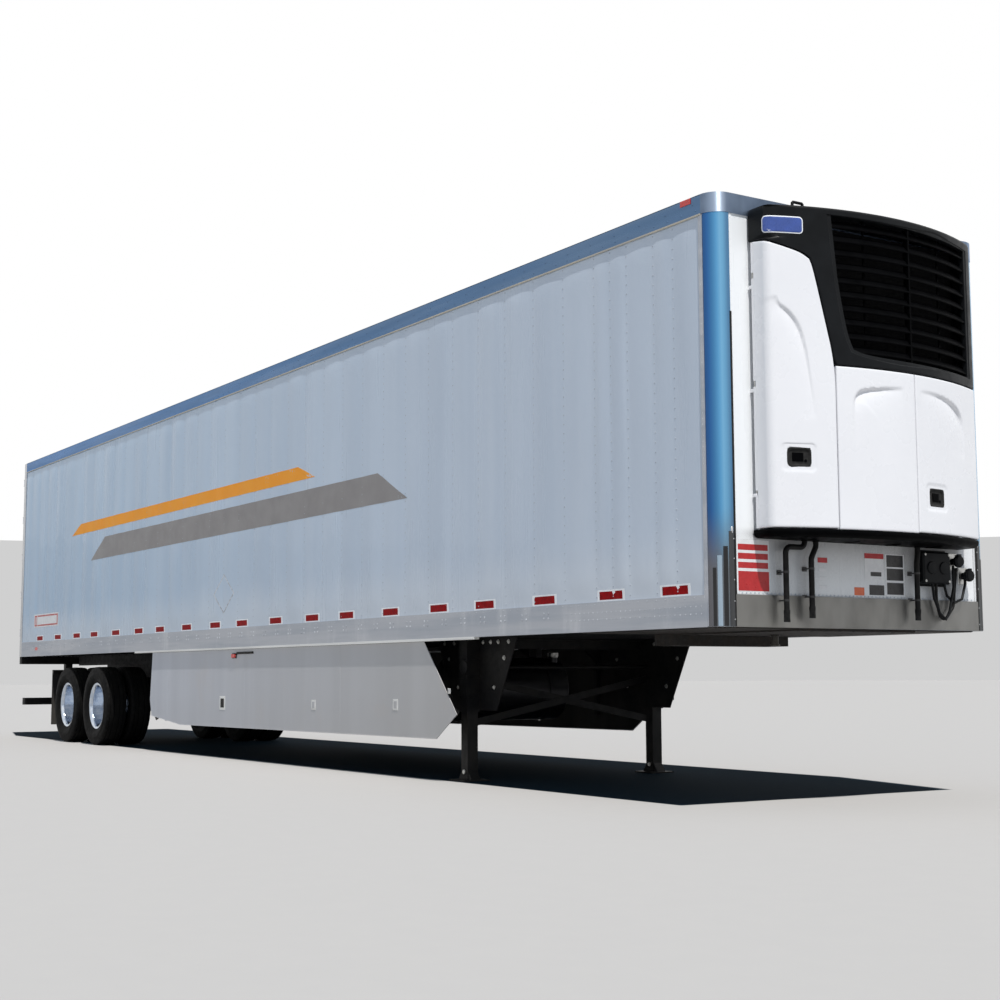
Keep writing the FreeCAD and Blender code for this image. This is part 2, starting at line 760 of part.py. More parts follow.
def make_trailing_arms():
    arms = []
    for x in axle_places:
        for _, side in SIDES:
            span = spread(side, size["arm_offset"] - size["arm_width"] / 2,
                          size["arm_offset"] + size["arm_width"] / 2)
            beam = box((x - ARM_TAIL, x + PIVOT_LEAD + 50), span, (arm_base, arm_top))
            saddle = box((x - 90, x + 90), span, (axle_height, arm_base))
            seat = rod("Y", (x, span[0], axle_height), size["axle_radius"] + size["running_gap"],
                       size["arm_width"])
            arms.append(cut(fuse([beam, saddle]), seat))
    node("trailing_arms", group(arms))


def make_air_springs():
    springs = []
    for x in axle_places:
        spring_x = x - ARM_TAIL + 90
        for _, side in SIDES:
            y = size["arm_offset"] * side
            room = size["bogie_base"] - plate - arm_top
            bag = rod("Z", (spring_x, y, arm_top + 60), size["spring_radius"], room - 60)
            piston = rod("Z", (spring_x, y, arm_top), size["spring_radius"] - 45, 60)
            springs.append(fuse([bag, piston]))
    node("air_springs", group(springs))


def make_axles():
    """Axle tubes with spindles, brake chamber brackets and brake chambers."""
    spindle_end = size["dual_spread"] + 120
    shoulder = size["dual_spread"] - 240
    axles = []
    for x in axle_places:
        tube = rod("Y", (x, -shoulder, axle_height), size["axle_radius"], shoulder * 2)
        spindle = rod("Y", (x, -spindle_end, axle_height), size["spindle_radius"], spindle_end * 2)
        pieces = [tube, spindle]
        for _, side in SIDES:
            y = size["arm_offset"] * side - 200 * side
            reach = spread(side, size["arm_offset"] - 212, size["arm_offset"] - 188)
            pieces.append(box((x, x + 190), reach, (axle_height - 30, axle_height + 30)))
            start = (x + 190, y, axle_height)
            pieces.append(rod("X", start, 80, 170))
        axles.append(fuse(pieces))
    node("axles", group(axles))


def wheel_section(side):
    """One twin wheel set: both rims, the hub and the brake drum, as (y, radius)."""
    middle = size["dual_spread"]
    gap = size["running_gap"]
    bead = size["rim_radius"] - gap
    lip = bead + 14
    well = bead - 16
    disc = size["disc_thickness"]
    outer = middle + size["dual_spacing"] / 2
    inner = middle - size["dual_spacing"] / 2
    wide = size["rim_width"] / 2
    bore = size["spindle_radius"] + gap
    return [
        (middle + 125, bore), (middle + 125, 95), (middle + disc, 105), (middle + disc, 175),
        (outer - 85, well - 20), (outer - 55, well), (outer + wide, well),
        (outer + wide, lip), (outer + wide - 12, lip), (outer + wide - 12, bead),
        (outer - wide + 12, bead), (outer - wide + 12, lip), (outer - wide, lip),
        (outer - wide, well), (middle + 6, 200), (middle - 6, 200), (inner + wide, well),
        (inner + wide, lip), (inner + wide - 12, lip), (inner + wide - 12, bead),
        (inner - wide + 12, bead), (inner - wide + 12, lip), (inner - wide, lip),
        (inner - wide, well), (inner + 55, well), (inner + 85, well - 20),
        (middle - disc, 175), (middle - disc - 28, 210), (middle - 215, 210),
        (middle - 215, 195), (middle - disc - 43, 195), (middle - disc - 28, 105),
        (middle - 140, 80), (middle - 140, bore),
    ]


def make_wheels():
    gap = size["running_gap"]
    bead = size["rim_radius"]
    broad = size["tyre_width"] / 2
    crown = size["tyre_radius"]
    for place, x in zip(("front", "rear"), axle_places):
        for name, side in SIDES:
            corners = [(y * side, radius) for y, radius in wheel_section(side)]
            if side < 0:
                corners.reverse()
            node(f"wheels_{place}_{name}", turned(corners[::-1], x, axle_height))
            tyres = []
            for way in (-1, 1):
                y = (size["dual_spread"] + size["dual_spacing"] / 2 * way) * side
                section = [
                    (y - 80, bead), (y + 80, bead), (y + 93, bead + 16 + gap), (y + broad, bead + 115),
                    (y + broad - 18, crown - 34), (y + broad - 36, crown - 4), (y, crown),
                    (y - broad + 36, crown - 4), (y - broad + 18, crown - 34),
                    (y - broad, bead + 115), (y - 93, bead + 16 + gap),
                ]
                tyres.append(turned(section[::-1], x, axle_height))
            node(f"tyres_{place}_{name}", group(tyres))


def make_mud_flaps():
    base = size["bogie_base"] + 60
    flaps = []
    for _, side in SIDES:
        outer = size["skirt_offset"] - 20
        span = spread(side, outer - size["flap_width"], outer)
        flaps.append(box((flap_x - 33, flap_x - 25), span, (220, base + 50)))
    node("mud_flaps", group(flaps))


def make_underride_guard():
    """The guard bar on two posts, hung from a beam below the rear frame's sill."""
    tube = size["guard_tube"]
    low = size["guard_height"]
    back = rear + 20
    beam_base = deck - size["guard_beam"]
    pieces = [box((back, back + tube), (-half + 60, half - 60), (low, low + tube))]
    for _, side in SIDES:
        post = spread(side, 520, 520 + tube)
        pieces.append(box((back, back + tube), post, (low + tube, beam_base)))
    pieces.append(box((back, back + tube), (-half, half), (beam_base, deck)))
    node("underride_guard", fuse(pieces))


# ---------------------------------------------------------------- skirts, tank and lamps

SKIRTS = (
    # side, front edge behind the nose face
    (1, 4000),
    (-1, 3390),
)


def make_skirts():
    base = size["skirt_base"]
    crown = deck - 20
    panels = []
    struts = []
    outer = size["skirt_offset"]
    inner = outer - size["skirt_thickness"]
    tail = front_axle_x + size["skirt_gap"]
    for side, front in SKIRTS:
        tip = nose - front
        outline = [
            (tail + 60, crown), (tail, crown - 560), (tail + 60, base + 90), (tail + 1000, base),
            (tip - 330, base + 20), (tip, base + 228), (tip - 550, crown),
        ]
        panels.append(prism("Y", outline, *spread(side, inner, outer)))
        rack = []
        strut_x = tip - 900
        while (strut_x - tail).value > 300:
            leg = [(outer - 46, base + 160), (inner, base + 160), (inner, deck),
                   (outer - 206, deck), (outer - 206, deck - 30), (outer - 46, deck - 170)]
            leg = [(y * side, z) for y, z in leg]
            if side < 0:
                leg.reverse()
            rack.append(prism("X", leg, strut_x, strut_x + 40))
            strut_x = strut_x - 1150
        cap = spread(side, outer - 46, outer)
        rack.append(box((tail + 60, tip - 560), cap, (crown, deck)))
        struts.append(fuse(rack))
    node("side_skirts", group(panels))
    node("skirt_struts", group(struts))


def make_fuel_tank():
    x = nose - size["tank_setback"]
    z = size["tank_height"]
    radius = size["tank_radius"]
    start = -size["tank_length"] / 2
    pieces = [rod("Y", (x, start, z), radius, size["tank_length"])]
    for y in (start + 150, -start - 210):
        band = rod("Y", (x, y, z), radius + 8, 60)
        hanger = box((x - 60, x + 60), (y, y + 60), (z, flange_top - plate))
        reach = (size["beam_pitch"] + size["beam_flange"]) / 2
        foot = box((x - reach, x + reach), (y, y + 60), (flange_top - plate, flange_top))
        pieces.extend([band, hanger, foot])
    neck = rod("Z", (x + 120, -start - 60, z), 40, radius + 20)
    node("fuel_tank", fuse(pieces + [neck]))


SIDE_LAMPS = (
    # place along the trailer, height
    (nose - 290, top - 22),
    (rear + 854, deck + 107),
)


def make_lamps():
    lamps = []
    for x, height in SIDE_LAMPS:
        for _, side in SIDES:
            span = spread(side, half, half + 4)
            lamps.append(box((x - 55, x + 55), span, (height - 20, height + 20)))
    middle = front_axle_x + size["skirt_gap"] + 2560
    for _, side in SIDES:
        span = spread(side, size["skirt_offset"], size["skirt_offset"] + 20)
        lamps.append(box((middle - 45, middle + 45), span, (deck - 108, deck - 68)))
    node("marker_lamps", group(lamps))
    rear_lamps = []
    for _, side in SIDES:
        for offset in (520, 660, 800):
            start = (rear - 14, (offset + 260) * side, deck + 62)
            rear_lamps.append(rod("X", start, 50, 14))
    for offset in (-160, 0, 160):
        rear_lamps.append(box((rear - 14, rear), (offset - 45, offset + 45), (top - 62, top - 34)))
    node("tail_lamps", group(rear_lamps))


# ---------------------------------------------------------------- refrigeration unit

def bow_radius():
    rise = size["unit_depth"] - size["unit_edge"]
    return (size["unit_half"] * size["unit_half"] + rise * rise) / (rise * 2)


def bowed_block(inset, low, high, side_inset):
    """The unit's plan: a block whose front bows forward, inset from the outer faces."""
    radius = bow_radius()
    centre = nose + size["unit_depth"] - radius
    drum = rod("Z", (centre, 0, low), radius - inset, high - low)
    reach = size["unit_half"] - side_inset
    return common(box((nose, nose + size["unit_depth"]), (-reach, reach), (low, high)), drum)


def bowed_shell(low, high):
    skin_depth = size["unit_skin"]
    return cut(bowed_block(0, low, high, 0), bowed_block(skin_depth, low, high, skin_depth))


def kerb_area(grow):
    """The kerb door's outline in (y, z), grown towards the shroud."""
    floor_line = size["unit_base_height"] + size["unit_tray"]
    return [
        (-size["unit_half"] - 10, floor_line), (-size["kerb_seam"] + grow, floor_line),
        (-size["kerb_seam"] + grow, size["shroud_base"] + grow),
        (-690 + grow, 3600 + grow), (-735 + grow, 3675 + grow), (-860 + grow, 3730 + grow),
        (-size["unit_half"] - 10, 3790 + grow),
    ]


def evaporator_block():
    """The part of the unit that passes through the front wall."""
    inner = front_in - 120
    return box((inner, front_out), (-850, 850), (3000, 3850))


def make_unit():
    low = size["unit_base_height"]
    tray_top = low + size["unit_tray"]
    gap = size["panel_gap"]
    skin_depth = size["unit_skin"]
    crown = unit_top
    lower_top = size["shroud_base"] - gap
    everywhere = (nose, nose + size["unit_depth"])
    node("unit_base", bowed_block(0, low, tray_top - gap, 0))

    back = box((nose, nose + 20), (-size["unit_half"] + 40, size["unit_half"] - 40),
               (tray_top - gap, crown - 30))
    flange = box((front_out, nose), (-880, 880), (2000, top_rail_base - 60))
    ribs = []
    for y in (-size["kerb_seam"] + gap, size["road_seam"] - gap - plate):
        rib = box((nose, nose + size["unit_depth"]), (y, y + plate), (tray_top - gap, lower_top))
        ribs.append(common(rib, bowed_block(skin_depth, tray_top - gap, lower_top, skin_depth)))
    panel_y = (-size["kerb_seam"] + gap, size["road_seam"] - gap)
    panel_area = box(everywhere, panel_y, (tray_top - gap, lower_top))
    panel = common(bowed_shell(tray_top - gap, lower_top), panel_area)
    lugs = []
    for side in (1, -1):
        x, y = unit_hinge(side)
        for middle in unit_lug_heights(side):
            lugs.append(hinge_lug(side, middle, 0))
        foot, head = unit_door_heights(side)
        lugs.append(rod("Z", (x, y, foot), size["unit_hinge_pin"], head - foot))
    node("unit_housing", fuse([back, flange, evaporator_block(), panel] + ribs + lugs))

    engine = box((nose + 40, nose + 270), (-450, 50), (tray_top - gap, tray_top + 620))
    node("unit_engine", engine)

    shell = bowed_shell(size["shroud_base"], crown)
    lid = bowed_block(0, crown - 30, crown, 0)
    shelf = box((nose + 20, nose + 150), (-size["kerb_seam"] + 60, size["unit_half"] - skin_depth),
                (size["shroud_base"], size["shroud_base"] + 20))
    opening = box(everywhere, (-size["grille_right"], size["grille_left"]),
                  (size["grille_base"], size["grille_top"]))
    kerb = prism("X", kerb_area(size["shroud_gap"]), nose - 1, nose + size["unit_depth"])
    node("unit_shroud", cut(fuse([shell, lid, shelf]), fuse([opening, kerb])))

    make_grille()
    make_unit_doors(tray_top, lower_top)


def make_grille():
    """Bowed louvres between the opening's ends, with a post down the middle."""
    wide = (-size["grille_right"], size["grille_left"])
    low = size["grille_base"]
    high = size["grille_top"]
    count = int(size["louvre_count"].value)
    pitch = (high - low) / count
    slats = []
    for index in range(count):
        base = low + pitch * index + pitch / 2 - size["louvre_height"] / 2
        ring = cut(bowed_block(12, base, base + size["louvre_height"], 0),
                   bowed_block(42, base, base + size["louvre_height"], 0))
        slats.append(common(ring, box((nose, nose + size["unit_depth"]), wide,
                                      (base, base + size["louvre_height"]))))
    middle = (size["grille_left"] - size["grille_right"]) / 2
    post = common(cut(bowed_block(20, low, high, 0), bowed_block(50, low, high, 0)),
                  box((nose, nose + size["unit_depth"]), (middle - 12, middle + 12), (low, high)))
    coil = box((nose + 20, nose + 110), (wide[0] + 20, wide[1] - 20), (low, high))
    node("unit_grille", fuse(slats + [post]))
    node("unit_condenser", coil)


def unit_hinge(side):
    return nose + size["unit_hinge_inset"], (size["unit_half"] - size["unit_hinge_radius"]) * side


def unit_door_heights(side):
    """Foot and head of a unit door at its hinge edge."""
    foot = size["unit_base_height"] + size["unit_tray"]
    if side > 0:
        return foot, size["shroud_base"] - size["panel_gap"]
    return foot, as_size(3700)


def unit_lug_heights(side):
    foot, head = unit_door_heights(side)
    return [foot + (head - foot) * share for share in (0.12, 0.5, 0.88)]


def hinge_lug(side, middle, room):
    """A lug from the back plate round the hinge pin, or the notch that clears it."""
    x, y = unit_hinge(side)
    radius = size["unit_hinge_radius"]
    tall = size["unit_lug_height"] / 2 + room
    across = spread(side, size["unit_half"] - 60, size["unit_half"] + room)
    return box((nose, x + radius + room), across, (middle - tall, middle + tall))


def make_unit_doors(tray_top, lower_top):
    """Wrap-round doors, each hinged at its edge next to the nose wall."""
    everywhere = (nose + size["unit_hinge_inset"], nose + size["unit_depth"])
    kerb = common(bowed_shell(tray_top, unit_top), prism("X", kerb_area(0), *everywhere))
    road_area = box(everywhere, (size["road_seam"], size["unit_half"]), (tray_top, lower_top))
    road = common(bowed_shell(tray_top, lower_top), road_area)
    for name, shell, side in (("kerb", kerb, -1), ("road", road, 1)):
        x, y = unit_hinge(side)
        foot, head = unit_door_heights(side)
        barrel = rod("Z", (x, y, foot), size["unit_hinge_radius"], head - foot)
        bore = rod("Z", (x, y, foot - 1), size["unit_hinge_pin"] + size["running_gap"], head - foot + 2)
        notches = [hinge_lug(side, middle, 7) for middle in unit_lug_heights(side)]
        node(f"unit_door_{name}", cut(fuse([shell, barrel]), fuse([bore] + notches)))


# ---------------------------------------------------------------- nose fittings

def make_couplings():
    """The plug box and the two air couplings on the lower front wall."""
    box_back = front_out
    plug_box = box((box_back, box_back + 80), (540, 820), (1520, 1750))
    pieces = [plug_box]
    for y, z in ((905, 1690), (1010, 1590)):
        pieces.append(rod("X", (box_back, y, z), 45, 90))
    node("air_couplings", group(pieces))


DRAIN_ROUTES = (
    # (forward of the nose, y, z) of each corner, top to bottom
    ((60, -600, 1800), (60, -600, 1730), (60, -775, 1730), (60, -775, 1260)),
    ((60, -500, 1800), (60, -500, 1740), (60, -545, 1660), (60, -545, 1290)),
    ((60, 480, 1800), (60, 480, 1740), (60, 466, 1660), (60, 466, 1290)),
)
CABLE_ROUTE = ((30, 690, 1520), (30, 690, 1400), (30, 740, 1230), (30, 860, 1360), (30, 905, 1643))


def make_hoses():
    hoses = []
    for route in DRAIN_ROUTES:
        points = [(nose + x, y, z) for x, y, z in route]
        hoses.append(tube_along(points, size["hose_radius"], 45))
    node("drain_hoses", group(hoses))
    points = [(nose + x, y, z) for x, y, z in CABLE_ROUTE]
    node("service_cable", tube_along(points, size["cable_radius"], 45))


def check_and_write():
    doc.recompute()
    for item in doc.Objects:
        if "Invalid" in item.State or "Error" in item.State:
            raise ValueError(f"{item.Name} ({item.Label}) failed: {item.State}")
    for name, item in nodes.items():
        if item.Shape.isNull() or not item.Shape.isValid():
            raise ValueError(f"{name} has no valid shape")
    os.makedirs("parts", exist_ok=True)
    for name, item in nodes.items():
        item.Shape.exportStep(f"parts/{name}.step")


make_floor()
make_cross_members()
make_walls()
make_rails()
make_nose()
make_rear_frame()
make_rear_doors()
make_coupler()
make_kingpin()
make_landing_legs()
make_landing_braces()
make_landing_crank()
make_slide_rails()
make_bogie_frame()
make_trailing_arms()
make_air_springs()
make_axles()
make_wheels()
make_mud_flaps()
make_underride_guard()
make_skirts()
make_fuel_tank()
make_lamps()
make_unit()
make_couplings()
make_hoses()
check_and_write()
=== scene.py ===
import itertools
import math
import random

import bmesh
import bpy
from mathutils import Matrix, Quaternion, Vector


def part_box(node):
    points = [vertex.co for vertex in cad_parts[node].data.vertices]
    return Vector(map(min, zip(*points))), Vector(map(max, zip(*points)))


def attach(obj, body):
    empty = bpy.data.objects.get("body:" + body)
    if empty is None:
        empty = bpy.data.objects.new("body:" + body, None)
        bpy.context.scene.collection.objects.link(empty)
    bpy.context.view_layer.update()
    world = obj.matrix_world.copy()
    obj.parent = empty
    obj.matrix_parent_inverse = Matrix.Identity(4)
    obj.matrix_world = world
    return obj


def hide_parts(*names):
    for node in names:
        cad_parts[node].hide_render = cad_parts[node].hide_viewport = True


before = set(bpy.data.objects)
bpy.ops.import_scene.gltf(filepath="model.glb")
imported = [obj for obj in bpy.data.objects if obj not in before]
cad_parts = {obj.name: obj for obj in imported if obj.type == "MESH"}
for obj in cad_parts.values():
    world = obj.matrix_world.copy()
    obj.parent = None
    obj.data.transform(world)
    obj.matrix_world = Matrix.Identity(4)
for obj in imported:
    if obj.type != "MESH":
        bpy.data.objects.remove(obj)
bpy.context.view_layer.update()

# The looks of a parked refrigerated semi trailer. Metres, in the frame's own axes:
# +X forward to the nose, +Y to the trailer's left, +Z up.

SIDES = (("left", 1), ("right", -1))
rng = random.Random(53)

# ---------------------------------------------------------------- places read from the frame

rail_low, rail_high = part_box("bottom_rails")
body_rear, corner_x, half, deck, rail_top = rail_low.x, rail_high.x, rail_high.y, rail_low.z, rail_high.z
rail_base, top = (corner.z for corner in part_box("top_rails"))
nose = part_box("nose_rails")[1].x
corner_radius = nose - corner_x
corner_y = half - corner_radius
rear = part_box("underride_guard")[0].x - 0.020
leaf_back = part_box("rear_door_left")[1].x - 0.080
wall_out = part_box("side_wall_left")[1].y
_, wall_in, floor_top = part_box("floor")[1]
front_in, front_out = (corner.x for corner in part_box("front_wall"))
roof_base, roof_top = (corner.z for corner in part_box("roof"))
coupler_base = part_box("upper_coupler")[0].z + 0.075
leg_x = sum(corner.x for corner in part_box("landing_legs")) / 2
skirt_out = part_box("side_skirts")[1].y
unit_front, unit_half, tray_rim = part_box("unit_base")[1]
unit_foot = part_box("unit_base")[0].z
tray_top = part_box("unit_door_kerb")[0].z
lower_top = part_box("unit_door_road")[1].z
unit_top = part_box("unit_shroud")[1].z


def smooth(low, high, value):
    """0 below low, 1 above high, eased between."""
    t = min(max((value - low) / (high - low), 0.0), 1.0)
    return t * t * (3 - 2 * t)


def spaced(low, high, pitch):
    """Even steps from low to high, about a pitch apart."""
    count = max(1, round(abs(high - low) / pitch))
    return [low + (high - low) * index / count for index in range(count + 1)]


def edged(low, high, pitch, margins=(0.0, 0.0015, 0.0045, 0.009)):
    """Steps that are closer together next to both ends."""
    inner = spaced(low + margins[-1], high - margins[-1], pitch)
    return [low + m for m in margins[:-1]] + inner + [high - m for m in reversed(margins[:-1])]


def rounding(distance, radius):
    """How far a rounded edge falls back, at a distance in from the edge."""
    return radius - math.sqrt(radius * radius - max(radius - distance, 0.0) ** 2)


# ---------------------------------------------------------------- materials

def plug(tree, socket, value):
    """Links an output to a socket, or sets the socket's own value."""
    if isinstance(value, bpy.types.NodeSocket):
        tree.links.new(value, socket)
    elif isinstance(value, tuple) and len(value) == 3 and socket.type == "RGBA":
        socket.default_value = (*value, 1.0)
    else:
        socket.default_value = value


def node(tree, kind, settings=(), **values):
    """A new node; settings are its own properties, values go to the sockets of those names."""
    made = tree.nodes.new("ShaderNode" + kind)
    for name, value in dict(settings).items():
        setattr(made, name, value)
    for name, value in values.items():
        plug(tree, made.inputs[name], value)
    return made


def maths(tree, operation, *values):
    made = node(tree, "Math", {"operation": operation})
    for index, value in enumerate(values):
        plug(tree, made.inputs[index], value)
    return made.outputs[0]


def mixed(tree, factor, first, second, blend="MIX"):
    made = node(tree, "Mix", {"data_type": "RGBA", "blend_type": blend})
    for index, value in ((0, factor), (6, first), (7, second)):
        plug(tree, made.inputs[index], value)
    return made.outputs[2]


def ramp(tree, value, low, high, low_out=0.0, high_out=1.0):
    made = node(tree, "MapRange", {"interpolation_type": "SMOOTHSTEP"})
    for index, number in enumerate((value, low, high, low_out, high_out)):
        plug(tree, made.inputs[index], number)
    return made.outputs[0]


def place(tree, scale=(1, 1, 1)):
    """Object coordinates, stretched; every piece's origin is the frame's."""
    return node(tree, "Mapping", Vector=node(tree, "TexCoord").outputs["Object"], Scale=scale).outputs[0]


def axes(tree):
    """The frame's own X, Y and Z at the point being shaded."""
    return node(tree, "SeparateXYZ", Vector=place(tree)).outputs


def noise(tree, scale, stretch=(1, 1, 1), detail=3.0, rough=0.55):
    made = node(tree, "TexNoise", Vector=place(tree, stretch), Scale=scale, Detail=detail, Roughness=rough)
    return made.outputs["Fac"]


def painted_corner_reflection(tree, stops):
    """A painted reflection that turns with the nose corners: 0 where they face forward, 1 where they face out."""
    across_width = maths(tree, "SUBTRACT", maths(tree, "ABSOLUTE", axes(tree)[1]), corner_y)
    made = node(tree, "ValToRGB", Fac=maths(tree, "DIVIDE", across_width, corner_radius))
    elements = made.color_ramp.elements
    while len(elements) < len(stops):
        elements.new(0.5)
    for element, (position, tone) in zip(elements, stops):
        element.position = position
        element.color = (*tone, 1.0)
    return made.outputs["Color"]


UP, ALONG, EVEN = (1, 1, 0.08), (0.06, 1, 1), (1, 1, 1)
DUST, CHALK = (0.30, 0.27, 0.23), (0.80, 0.81, 0.82)
FINISHES = {}


def surface(name, colour, second, rough, metallic=0.0, grain=6, dents=None, spread=0.08, coat=0.0, dirt=None,
            specular=0.5, above=None, cells=None, streaks_and_reflections=None, painted_reflection=None, painted_shade=None, rim=None, brushed=0.0,
            tail=None):
    """A finish: two tones mixed by grain, uneven roughness, bump, and what else its options name.

    grain and dents may end with a stretch. above: the tones over a height. painted_reflection: painted reflection tones
    round the nose corners.
    tail: tints at the rear and the nose, painted light for the sky light that changes along the body. dirt: colour,
    height and strength. painted_shade: colour, reach and strength of the painted shade under the unit's tray.
    """
    FINISHES[name] = made = bpy.data.materials.new(name)
    made.use_nodes = True
    tree = made.node_tree
    shader = tree.nodes["Principled BSDF"].inputs
    scale, stretch = grain if isinstance(grain, tuple) else (grain, EVEN)
    tone = ramp(tree, noise(tree, scale, stretch), 0.35, 0.65)
    paint = mixed(tree, tone, colour, second)
    if above:
        level, *tints = above
        paint = mixed(tree, maths(tree, "GREATER_THAN", axes(tree)[2], level), paint, mixed(tree, tone, *tints))
    # painted reflection: a tone round the nose corners stands in for what the curved metal reflects
    if painted_reflection:
        paint = mixed(tree, 1.0, paint, painted_corner_reflection(tree, painted_reflection), "MULTIPLY")
    # painted light: a tint from the rear to the nose stands in for the sky light that changes along the body
    if tail:
        lengthways = ramp(tree, axes(tree)[0], body_rear, nose)
        paint = mixed(tree, 1.0, paint, mixed(tree, lengthways, *tail), "MULTIPLY")
    # dirt streaks on most finishes; on the side skins and the wheels these streaks are painted reflections
    if streaks_and_reflections:
        tint, streak_scale, streak_stretch, strength = streaks_and_reflections
        run = ramp(tree, noise(tree, streak_scale, streak_stretch, 5.0, 0.65), 0.52, 0.80, 0.0, strength)
        paint = mixed(tree, run, paint, tint)
    if dirt:
        tint, height, strength = dirt
        patchy = maths(tree, "MULTIPLY", noise(tree, 1.6, (1, 1, 0.35), 5.0), -0.5)
        level = ramp(tree, maths(tree, "ADD", axes(tree)[2], patchy), height - 0.5, height, strength, 0.0)
        paint = mixed(tree, level, paint, tint)
    # painted shade: the nose wall darkens low down where nearby parts hide it, under the unit's tray
    if painted_shade:
        tint, reach, strength = painted_shade
        near = node(tree, "AmbientOcclusion", {"samples": 4}, Distance=reach)
        held = ramp(tree, near.outputs["AO"], 0.35, 0.95, strength, 0.0)
        low_down = ramp(tree, axes(tree)[2], unit_foot, tray_top + 0.02, 1.0, 0.0)
        paint = mixed(tree, maths(tree, "MULTIPLY", held, low_down), paint, tint)
    plug(tree, shader["Base Color"], paint)
    if rim:
        plug(tree, shader["Specular Tint"], rim)
    if brushed:
        shader["Anisotropic"].default_value = brushed
        shader["Anisotropic Rotation"].default_value = 0.25
    shader["Metallic"].default_value = metallic
    shader["Specular IOR Level"].default_value = specular
    shader["Coat Weight"].default_value = coat
    wear = noise(tree, scale * 2.7, stretch, 4.0)
    plug(tree, shader["Roughness"], ramp(tree, wear, 0.3, 0.7, rough - spread, rough + spread))
    normal = None
    if dents:
        depth, size, *way = dents
        normal = node(tree, "Bump", Distance=depth, Strength=1.0, Height=noise(tree, size, *way)).outputs[0]
    if cells:
        size, depth = cells
        honeycomb = node(tree, "TexVoronoi", Vector=place(tree), Scale=size).outputs["Distance"]
        below = {"Normal": normal} if normal else {}
        normal = node(tree, "Bump", Distance=depth, Strength=1.0, Height=honeycomb, **below).outputs[0]
    if normal:
        plug(tree, shader["Normal"], normal)
    return made


# side_white: the white is painted darker and bluer than the nose's white, a painted shade because the side is turned
# from the key light; its pale vertical streaks are painted reflections of the skin's waves, and its tail tints are
# painted light, darker and bluer towards the rear
surface("side_white", (0.59, 0.65, 0.735), (0.54, 0.602, 0.69), 0.3, grain=(1.9, (1, 1, 0.05)), spread=0.04,
        dents=(0.0005, 3, UP), coat=0.2, dirt=(CHALK, 1.7, 0.34), streaks_and_reflections=(CHALK, 1.6, (1, 1, 0.1), 0.14),
        tail=((0.57, 0.75, 0.89), (0.94, 0.965, 0.99)))
surface("door_white", (0.74, 0.76, 0.79), (0.69, 0.71, 0.75), 0.3, grain=(3, UP), dents=(0.0005, 4, UP), coat=0.2,
        dirt=(DUST, 1.7, 0.16))
surface("side_rivet", (0.36, 0.4, 0.46), (0.5, 0.54, 0.6), 0.5, grain=30)
# nose_white: painted shade darkens it under the unit's tray
surface("nose_white", (0.91, 0.925, 0.935), (0.88, 0.895, 0.91), 0.32, grain=(3, UP), dents=(0.0006, 4, UP), coat=0.2,
        painted_shade=((0.2, 0.2, 0.205), 0.7, 0.9))
surface("liner_white", (0.72, 0.73, 0.73), (0.66, 0.67, 0.67), 0.45, grain=(5, UP), dirt=(DUST, 2.1, 0.22),
        dents=(0.0005, 30))
surface("rail", (0.43, 0.45, 0.49), (0.35, 0.38, 0.43), 0.42, 0.75, grain=(9, ALONG), dents=(0.0003, 90, ALONG),
        streaks_and_reflections=(CHALK, 4, (1, 1, 0.3), 0.3))
surface("rail_bolt", (0.62, 0.65, 0.7), (0.3, 0.32, 0.36), 0.35, 0.6, grain=30)
# top_rail: its tail tints are painted light, lighter towards the rear
surface("top_rail", (0.135, 0.205, 0.325), (0.105, 0.175, 0.3), 0.32, 0.85, grain=(7, ALONG),
        dents=(0.0003, 90, ALONG), streaks_and_reflections=((0.1, 0.22, 0.46), 1.1, ALONG, 0.5), rim=(0.35, 0.5, 0.8),
        tail=((1.75, 1.55, 1.35), (0.95, 0.95, 0.9)))
# nose_rail: its tones round the nose corners are a painted highlight and a painted reflection on the curved rails
surface("nose_rail", (0.29, 0.285, 0.27), (0.255, 0.25, 0.235), 0.5, 0.85, grain=(2.5, (1, 1, 0.5)),
        dents=(0.0003, 60), above=(3, (0.25, 0.32, 0.43), (0.18, 0.235, 0.33)),
        painted_reflection=((0, (1, 1, 1)), (0.12, (1, 1, 1)), (0.3, (1.7, 1.6, 1.5)), (0.56, (2.2, 2.05, 1.85)),
               (0.8, (1.6, 1.55, 1.5)), (1, (1, 1, 1))), brushed=0.9, rim=(0.5, 0.6, 0.8))
surface("lip", (0.5, 0.46, 0.38), (0.42, 0.4, 0.36), 0.5, 0.1, grain=(30, ALONG))
surface("lip_white", (0.8, 0.8, 0.78), (0.66, 0.66, 0.64), 0.4, 0.2, grain=(9, ALONG))
# post: all its blue, dark to light to dark round each corner, is a painted reflection of the sky on the curved metal
surface("post", (1, 1, 1), (0.86, 0.88, 0.92), 0.2, 0.7, grain=(9, (1, 1, 0.02)), spread=0.03,
        dents=(0.0002, 60, (1, 1, 0.03)), dirt=((0.16, 0.15, 0.14), 1.8, 0.88),
        painted_reflection=((0, (0.09, 0.225, 0.38)), (0.14, (0.095, 0.23, 0.39)), (0.33, (0.155, 0.39, 0.6)),
               (0.49, (0.2, 0.475, 0.705)), (0.63, (0.117, 0.37, 0.63)), (0.79, (0.057, 0.22, 0.44)),
               (0.91, (0.026, 0.126, 0.345)), (1, (0.018, 0.076, 0.2))))
